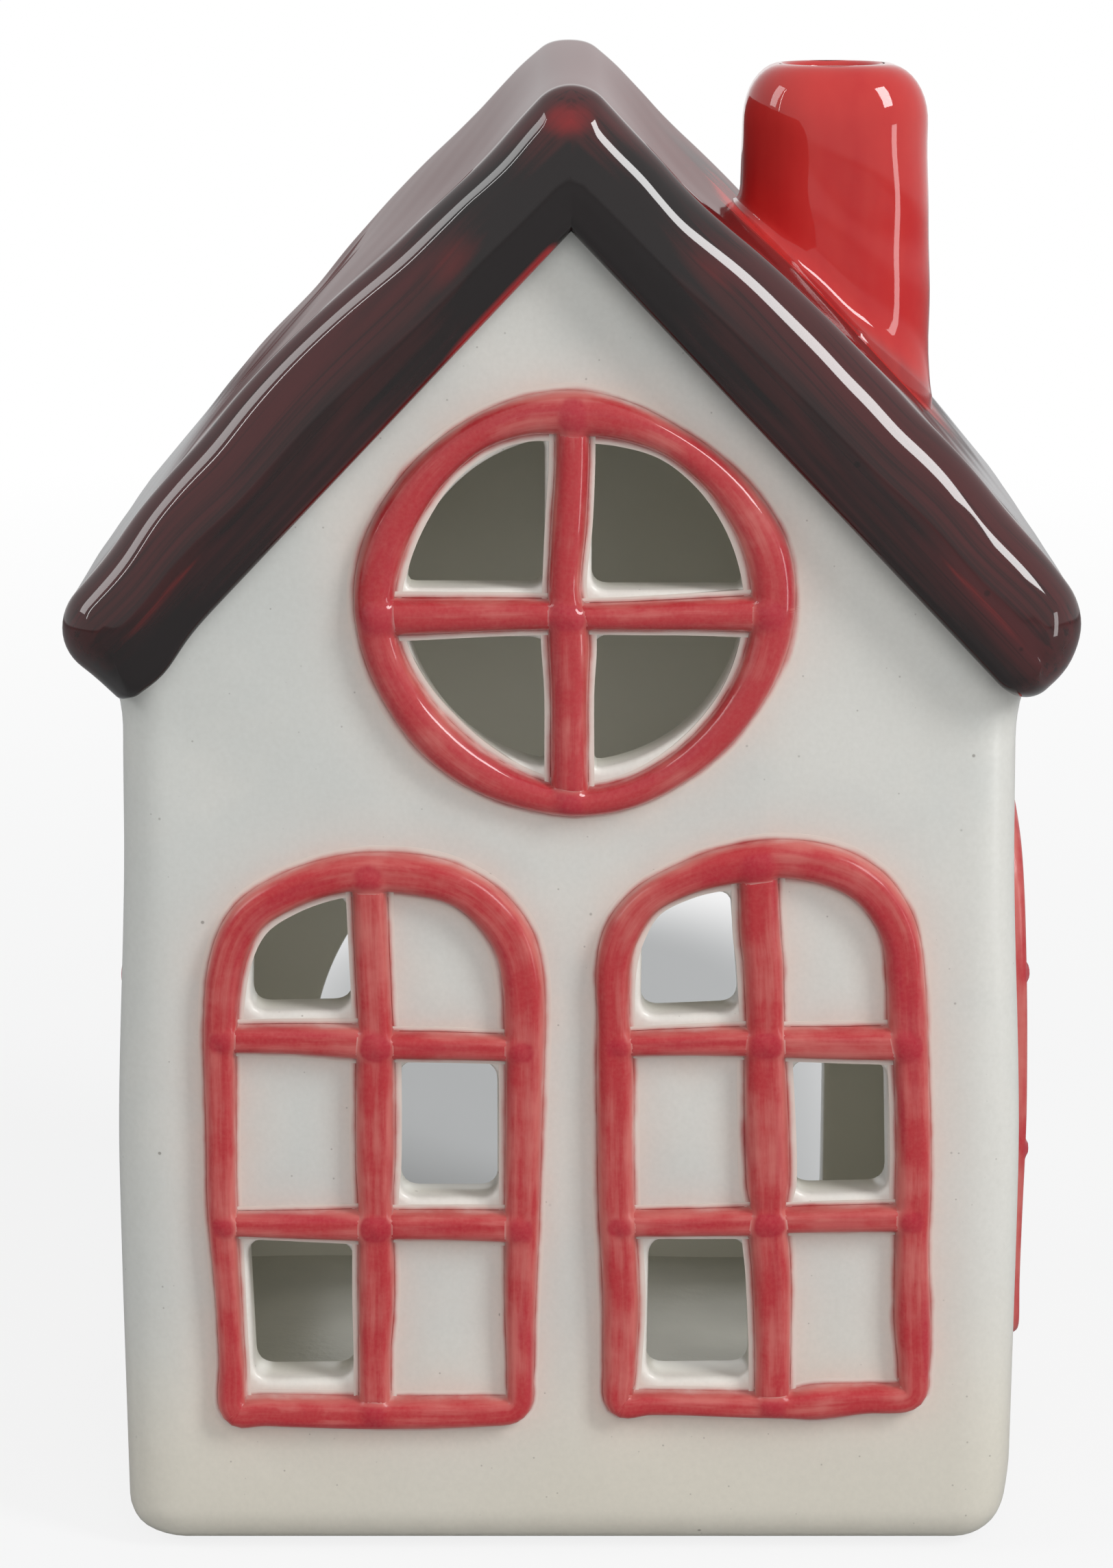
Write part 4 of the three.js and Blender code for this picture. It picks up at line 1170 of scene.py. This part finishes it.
def wall_glaze(tints):
    """Satin white glaze: cloudy from warm to cool, with painted shade that greys it towards the left,
    darker and warmer towards the foot, blushed beside the paint, pale on the lips as a painted highlight,
    with fine specks, and lighter on the faces inside the house as painted light."""
    g = Glaze("wall_glaze", roughness=0.32, gloss=0.35, coat=0.25, coat_roughness=0.14)
    place = g.place()
    # Random cloud, less the place across: the glaze turns greyer and darker towards the left as painted
    # shade.
    cloud = g.minus(g.noise(place, 55, 3), g.times(g.node("SeparateXYZ", {0: place}, "X"), 3.5))
    colour = g.mix(g.step(cloud, 0.35, 0.65), tints.white, tints.cool)
    # Darker and warmer towards the foot.
    low = g.plus(g.mark("low"), g.minus(g.noise(place, 22, 3), 0.5))
    colour = g.mix(g.step(low, 0.0, 1.1), colour, tints.warm)
    patchy = g.noise(place, 240, 4)
    blush = g.times(g.mark("blush"), g.spread(patchy, 0.2, 1.1))
    colour = g.mix(blush, colour, tints.blush)
    # Painted highlight: the panes' lips are made paler, as where light catches an edge.
    colour = g.mix(g.times(g.mark("lip"), 0.7), colour, tints.lip)
    fine = g.noise(place, 1900, 2)
    colour = g.mix(g.spread(fine, -0.06, 0.14), colour, tints.grain)
    specks = g.dots(place, 760, 0.10, 0.30)
    colour = g.mix(g.times(specks, 0.42), colour, tints.speck)
    grains = g.dots(place, 240, 0.055, 0.55)
    colour = g.mix(g.times(grains, 0.6), colour, tints.speck)
    # Painted light: faces inside the house are made lighter than the outer glaze.
    colour = g.mix(g.mark("within"), colour, tints.inside)
    height = g.noise(place, 420, 3)
    return g.finish(colour, g.spread(cloud, 0.26, 0.38), height, 0.06, 0.0004)


def window_paint(tints):
    """The paint of the arched windows, under a thin satin glaze."""
    g = Glaze("window_paint", roughness=0.45, gloss=0.12, coat=0.4, coat_roughness=0.2)
    return brushed_paint(tints, g, wear=0.2)


def ring_paint(tints):
    """The paint of the round window, under a thicker and glossier glaze."""
    g = Glaze("ring_paint", roughness=0.45, gloss=0.1, coat=0.8, coat_roughness=0.06)
    return brushed_paint(tints, g, wear=0.0)


def brushed_paint(tints, g, wear):
    """Window paint: streaks along the brush stroke, thin at the feet and where worn, deep where strokes
    overlap, and frayed to white past the bead's feet."""
    place = g.place()
    stroke = g.mark("stroke", "Vector")
    streak = g.minus(g.noise(g.stretched(stroke, (90, 1100, 500)), 1.0, 5, 0.62), 0.5)
    cloud = g.minus(g.noise(place, 150, 4), 0.5)
    grain = g.noise(place, 2600, 2)
    side = g.math("ABSOLUTE", g.mark("side"))
    worn = g.plus(g.times(g.step(side, 0.5, 1.1), 0.5), g.times(cloud, 1.9))
    worn = g.plus(worn, g.plus(g.times(streak, 1.7), wear))
    colour = g.mix(g.step(worn, -0.12, 0.75), tints.red, tints.thin_red)
    coats = g.plus(g.mark("coats"), g.times(streak, 1.3))
    colour = g.mix(g.times(g.step(coats, 1.05, 2.0), 0.85), colour, tints.deep_red)
    heavy = g.step(g.noise(g.stretched(stroke, (40, 380, 300)), 1.0, 3), 0.5, 0.72)
    colour = g.mix(g.times(heavy, 0.75), colour, tints.deep_red)
    colour = g.mix(g.spread(grain, -0.12, 0.32), colour, tints.thin_red)
    fray = g.plus(side, g.times(g.minus(g.noise(place, 260, 3), 0.5), 0.3))
    fray = g.plus(fray, g.times(streak, 0.3))
    stained = [(1 - STAIN) * white + STAIN * blush for white, blush in zip(tints.white, tints.blush)]
    colour = g.mix(g.step(fray, 0.88, 1.28), colour, stained)
    return g.finish(colour, None, streak, 0.08, 0.00025)


def roof_brown(tints):
    """Glossy dark roof glaze: brown with streaks down the slope, black where thick, wine red where it breaks,
    with red run down from the chimney and pinholes."""
    g = Glaze("roof_brown", roughness=0.3, gloss=0.0, coat=1.0, coat_roughness=0.04)
    lay = g.mark("lay", "Vector")
    streak = g.noise(g.stretched(lay, (28, 500, 520)), 1.0, 4)
    broad = g.noise(g.stretched(lay, (22, 70, 160)), 1.0, 3)
    ragged = g.minus(streak, 0.5)
    wine = g.plus(streak, g.times(g.mark("wine"), 0.3))
    colour = g.mix(g.step(wine, 0.42, 0.74), tints.roof, tints.roof_wine)
    black = g.plus(broad, g.times(g.mark("black"), 0.45))
    black = g.step(g.plus(black, g.times(ragged, 0.5)), 0.52, 0.74)
    colour = g.mix(black, colour, tints.roof_black)
    hairs = g.step(g.noise(g.stretched(lay, (16, 1500, 1900)), 1.0, 3), 0.5, 0.68)
    colour = g.mix(g.times(hairs, 0.6), colour, tints.roof_black)
    red = g.step(g.plus(g.mark("red"), g.times(ragged, 0.5)), 0.3, 0.95)
    colour = g.mix(g.times(red, 0.65), colour, tints.chimney_deep)
    slope = g.mark("slope")
    colour = g.mix(g.times(slope, g.step(streak, 0.0, 0.42)), colour, tints.slope_wine)
    g.feed(g.shader.inputs["Coat Weight"], g.minus(1.0, g.mark("dull")))
    spill = g.step(g.plus(g.mark("spill"), g.times(ragged, 1.6)), 0.25, 0.8)
    colour = g.mix(spill, colour, tints.chimney)
    pits = g.dots(g.place(), 260, 0.11, 0.3)
    colour = g.mix(g.times(pits, 0.8), colour, tints.pit)
    # Painted light: the underside over the room takes the lighter inside tint.
    colour = g.mix(g.mark("bare"), colour, tints.inside)
    height = g.minus(g.times(streak, 0.2), pits)
    return g.finish(colour, None, height, 0.05, 0.0003)


def chimney_red(tints):
    """Glossy red glaze, deeper in soft upright runs and at the foot."""
    g = Glaze("chimney_red", roughness=0.3, gloss=0.0, coat=1.0, coat_roughness=0.045)
    place = g.place()
    runs = g.noise(g.stretched(place, (150, 150, 30)), 1.0, 3)
    colour = g.mix(g.step(runs, 0.4, 0.75), tints.chimney, tints.chimney_deep)
    foot = g.plus(g.mark("foot"), g.minus(runs, 0.6))
    colour = g.mix(g.times(g.step(foot, 0.4, 1.1), 0.5), colour, tints.roof_wine)
    fine = g.noise(place, 900, 2)
    colour = g.mix(g.spread(fine, 0.0, 0.12), colour, tints.chimney_thin)
    height = g.noise(place, 180, 2)
    return g.finish(colour, None, height, 0.05, 0.0005)


def base_clay(tints):
    """Base slab: a thin wash of glaze inside the house, lightened as painted light, and bare gritty clay
    underneath.
    """
    g = Glaze("base_clay", roughness=0.5, gloss=0.3, coat=0.0, coat_roughness=0.2)
    place = g.place()
    cloud = g.noise(place, 70, 3)
    # Painted light: the wash on the shaded floor is lighter than the wall glaze.
    colour = g.mix(g.step(cloud, 0.35, 0.65), tints.wash, tints.wash_cool)
    grit = g.noise(place, 900, 4)
    clay = g.mix(g.step(grit, 0.4, 0.75), tints.clay, tints.grit)
    colour = g.mix(g.mark("bare"), colour, clay)
    return g.finish(colour, g.spread(g.mark("bare"), 0.35, 0.85), grit, 0.2, 0.0003)


FINISHES = {maker.__name__: maker for maker in (
    wall_glaze, window_paint, ring_paint, roof_brown, chimney_red, base_clay
)}


def finish_named(context, name):
    """A finish, made the first time that it is asked for. The frame's own materials have other names."""
    return bpy.data.materials.get(name) or FINISHES[name](context.scene.house_colours)


# Windows of each wall: its beads, its panes, how far it moves across the wall, and how proud it stands.
WINDOWS = {
    "front_left_window": ("front", LEFT_WINDOW, LEFT_PANES, 0.0, 1.0),
    "front_right_window": ("front", RIGHT_WINDOW, RIGHT_PANES, 0.0, 1.0),
    "right_side_window": ("right", LEFT_WINDOW, LEFT_PANES, 19.2, 1.6),
    "left_side_window": ("left", RIGHT_WINDOW, RIGHT_PANES, -19.2, 0.9),
}


class HOUSE_OT_walls(bpy.types.Operator):
    """Builds the base slab and the four walls, cut through at the panes and the doorway"""

    bl_idname = "house.walls"
    bl_label = "Walls and base"

    def execute(self, context):
        p = plan(context)
        finish = finish_named(context, "wall_glaze")
        base_piece(p, finish_named(context, "base_clay"))
        for face in ("front", "back", "left", "right"):
            rows, depth_at = gable_rows(p) if face in ("front", "back") else side_rows(p)
            holes, lines = [], []
            for wall, table, panes, shift, _ in WINDOWS.values():
                if wall == face:
                    panes = [np.asarray(pane) + [shift, 0.0] for pane in panes]
                    holes += [rounded_loop(pane, PANE_CORNER, PANE_SPACING) for pane in panes]
                    lines += list(window_lines(table, shift).values())
            if face == "front":
                holes += [round_pane(*pane) for pane in ROUND_PANES]
                lines += list(round_lines().values())
            if face == "back":
                holes.append(doorway())
            wall_piece(p, face, rows, depth_at, holes, lines, finish)
        return {"FINISHED"}


class HOUSE_OT_roof(bpy.types.Operator):
    """Builds the two roof slabs"""

    bl_idname = "house.roof"
    bl_label = "Roof slabs"

    def execute(self, context):
        p = plan(context)
        finish = finish_named(context, "roof_brown")
        roof_piece(p, "left_roof_slab", -1, finish)
        bore_flue(p, roof_piece(p, "right_roof_slab", 1, finish))
        return {"FINISHED"}


class HOUSE_OT_chimney(bpy.types.Operator):
    """Builds the hollow chimney"""

    bl_idname = "house.chimney"
    bl_label = "Chimney"

    def execute(self, context):
        chimney_piece(plan(context), finish_named(context, "chimney_red"))
        return {"FINISHED"}


class HOUSE_OT_windows(bpy.types.Operator):
    """Builds the frames and bars of the four arched windows"""

    bl_idname = "house.windows"
    bl_label = "Arched windows"

    def execute(self, context):
        p = plan(context)
        finish = finish_named(context, "window_paint")
        for window, (face, table, _, shift, proud) in WINDOWS.items():
            lines = window_lines(table, shift)
            relief = p.relief * proud
            for bead in lines:
                bead_piece(p, f"{window}_{bead}", face, bead, lines, relief, ARCH_BEAD_POWER, finish)
        return {"FINISHED"}


class HOUSE_OT_round_window(bpy.types.Operator):
    """Builds the ring and cross of the round window"""

    bl_idname = "house.round_window"
    bl_label = "Round window"

    def execute(self, context):
        p = plan(context)
        finish = finish_named(context, "ring_paint")
        lines = round_lines()
        for bead in lines:
            node = "round_window_" + ("ring" if bead == "frame" else bead)
            bead_piece(p, node, "front", bead, lines, p.relief, ROUND_BEAD_POWER, finish)
        return {"FINISHED"}


def softbox(name, place, target, size, power, left_out):
    """A rectangular lamp that looks at a target."""
    lamp = bpy.data.lights.new(name, "AREA")
    lamp.shape = "RECTANGLE"
    lamp.size, lamp.size_y = size
    lamp.energy = power
    light = bpy.data.objects.new(name, lamp)
    light.location = place
    light.rotation_euler = (Vector(target) - Vector(place)).to_track_quat("-Z", "Y").to_euler()
    light.visible_camera = False
    if left_out:
        setattr(light, left_out, False)
    bpy.context.scene.collection.objects.link(light)


def stage_white():
    """White floor that still takes the house's shadow: part seen as plain white, part lit.
    The strip right behind the house, in its shadow from the front, is seen as lit, and far
    away the floor is white in reflections too."""
    finish = bpy.data.materials.new("floor_white")
    w = Wiring(finish)
    w.tree.nodes.clear()
    place = w.place()
    away = w.node("VectorMath", {0: place}, "Value", operation="LENGTH")
    near = place
    for operation, amount in (
        ("SUBTRACT", (0.0, 0.105, 0.0)),
        ("ABSOLUTE", (0.0, 0.0, 0.0)),
        ("SUBTRACT", (0.0, 0.055, 0.0)),
        ("MAXIMUM", (0.0, 0.0, 0.0)),
        ("DIVIDE", (0.046, 0.070, 1.0)),
    ):
        near = w.node("VectorMath", {0: near, 1: amount}, "Vector", operation=operation)
    gap = w.node("VectorMath", {0: near}, "Value", operation="LENGTH")
    inputs = {"Value": away, "From Min": 0.15, "From Max": 0.7, "To Min": 0.84}
    white = w.times(w.step(gap, 0.55, 1.2), w.node("MapRange", inputs, "Result"))
    camera_ray = w.node("LightPath", {}, "Is Camera Ray")
    mirrored = w.times(camera_ray.node.outputs["Is Glossy Ray"], w.step(away, 0.9, 2.0))
    seen = w.math("MAXIMUM", w.times(camera_ray, white), mirrored)
    lit = w.node("BsdfDiffuse", {"Color": STAGE_LIT})
    plain = w.node("Emission", {"Color": WHITE})
    output = w.tree.nodes.new("ShaderNodeOutputMaterial")
    w.feed(output.inputs["Surface"], w.node("MixShader", {0: seen, 1: lit, 2: plain}))
    return finish


def surroundings():
    """A world that is white to the eye and in reflections, and softer as light."""
    world = bpy.data.worlds.new("studio")
    w = Wiring(world)
    back = w.tree.nodes["Background"]
    camera_ray = w.node("LightPath", {}, "Is Camera Ray")
    rays = camera_ray.node.outputs
    seen = w.math("MAXIMUM", camera_ray, rays["Is Glossy Ray"])
    seen = w.math("MAXIMUM", seen, rays["Is Transmission Ray"])
    w.feed(back.inputs["Color"], WHITE)
    w.feed(back.inputs["Strength"], w.spread(seen, SURROUND_LIGHT, 1.0))
    return world


class HOUSE_OT_stage(bpy.types.Operator):
    """Sets the floor, the soft lamps, the white surroundings and the camera"""

    bl_idname = "house.stage"
    bl_label = "Stage"

    def execute(self, context):
        scene = context.scene
        scene.view_settings.view_transform = "Standard"
        scene.world = surroundings()
        turn = np.linspace(0, 2 * math.pi, STAGE_POINTS, endpoint=False)
        rim = STAGE_RADIUS * np.stack([np.cos(turn), np.sin(turn), np.zeros(STAGE_POINTS)], axis=1)
        mesh = bpy.data.meshes.new("floor")
        mesh.from_pydata(rim, [], [list(range(STAGE_POINTS))])
        mesh.materials.append(stage_white())
        floor = bpy.data.objects.new("floor", mesh)
        scene.collection.objects.link(floor)
        for name, lamp in LAMPS.items():
            softbox(name, *lamp)
        lens = bpy.data.cameras.new("camera")
        lens.sensor_width = CAMERA_SENSOR
        lens.lens = CAMERA_LENS
        lens.clip_start = 0.01
        camera = bpy.data.objects.new("camera", lens)
        camera.location = CAMERA_PLACE
        camera.rotation_euler = (math.pi / 2 - CAMERA_TILT, 0.0, 0.0)
        scene.collection.objects.link(camera)
        scene.camera = camera
        return {"FINISHED"}


class HOUSE_PT_panel(bpy.types.Panel):
    """Lists the pieces of the house with their sizes and colours"""

    bl_idname = "HOUSE_PT_panel"
    bl_label = "Ceramic house"
    bl_space_type = "VIEW_3D"
    bl_region_type = "UI"
    bl_category = "House"

    def draw(self, context):
        layout = self.layout
        for operator in OPERATORS:
            layout.operator(operator.bl_idname)
        for group in (context.scene.house_sizes, context.scene.house_colours):
            column = layout.column()
            for name in group.__annotations__:
                column.prop(group, name)


OPERATORS = (
    HOUSE_OT_stage,
    HOUSE_OT_walls,
    HOUSE_OT_roof,
    HOUSE_OT_chimney,
    HOUSE_OT_windows,
    HOUSE_OT_round_window,
)
CLASSES = (HouseSizes, HouseColours, *OPERATORS, HOUSE_PT_panel)


def register():
    """Registers the classes and hangs the two property groups on the scene."""
    for entry in CLASSES:
        bpy.utils.register_class(entry)
    bpy.types.Scene.house_sizes = bpy.props.PointerProperty(type=HouseSizes)
    bpy.types.Scene.house_colours = bpy.props.PointerProperty(type=HouseColours)


def unregister():
    """Takes the property groups and classes away again."""
    del bpy.types.Scene.house_colours
    del bpy.types.Scene.house_sizes
    for entry in reversed(CLASSES):
        bpy.utils.unregister_class(entry)


def main():
    """Builds the house piece by piece."""
    register()
    bpy.ops.house.stage()
    bpy.ops.house.walls()
    bpy.ops.house.roof()
    bpy.ops.house.chimney()
    bpy.ops.house.windows()
    bpy.ops.house.round_window()


if __name__ == "__main__":
    main()
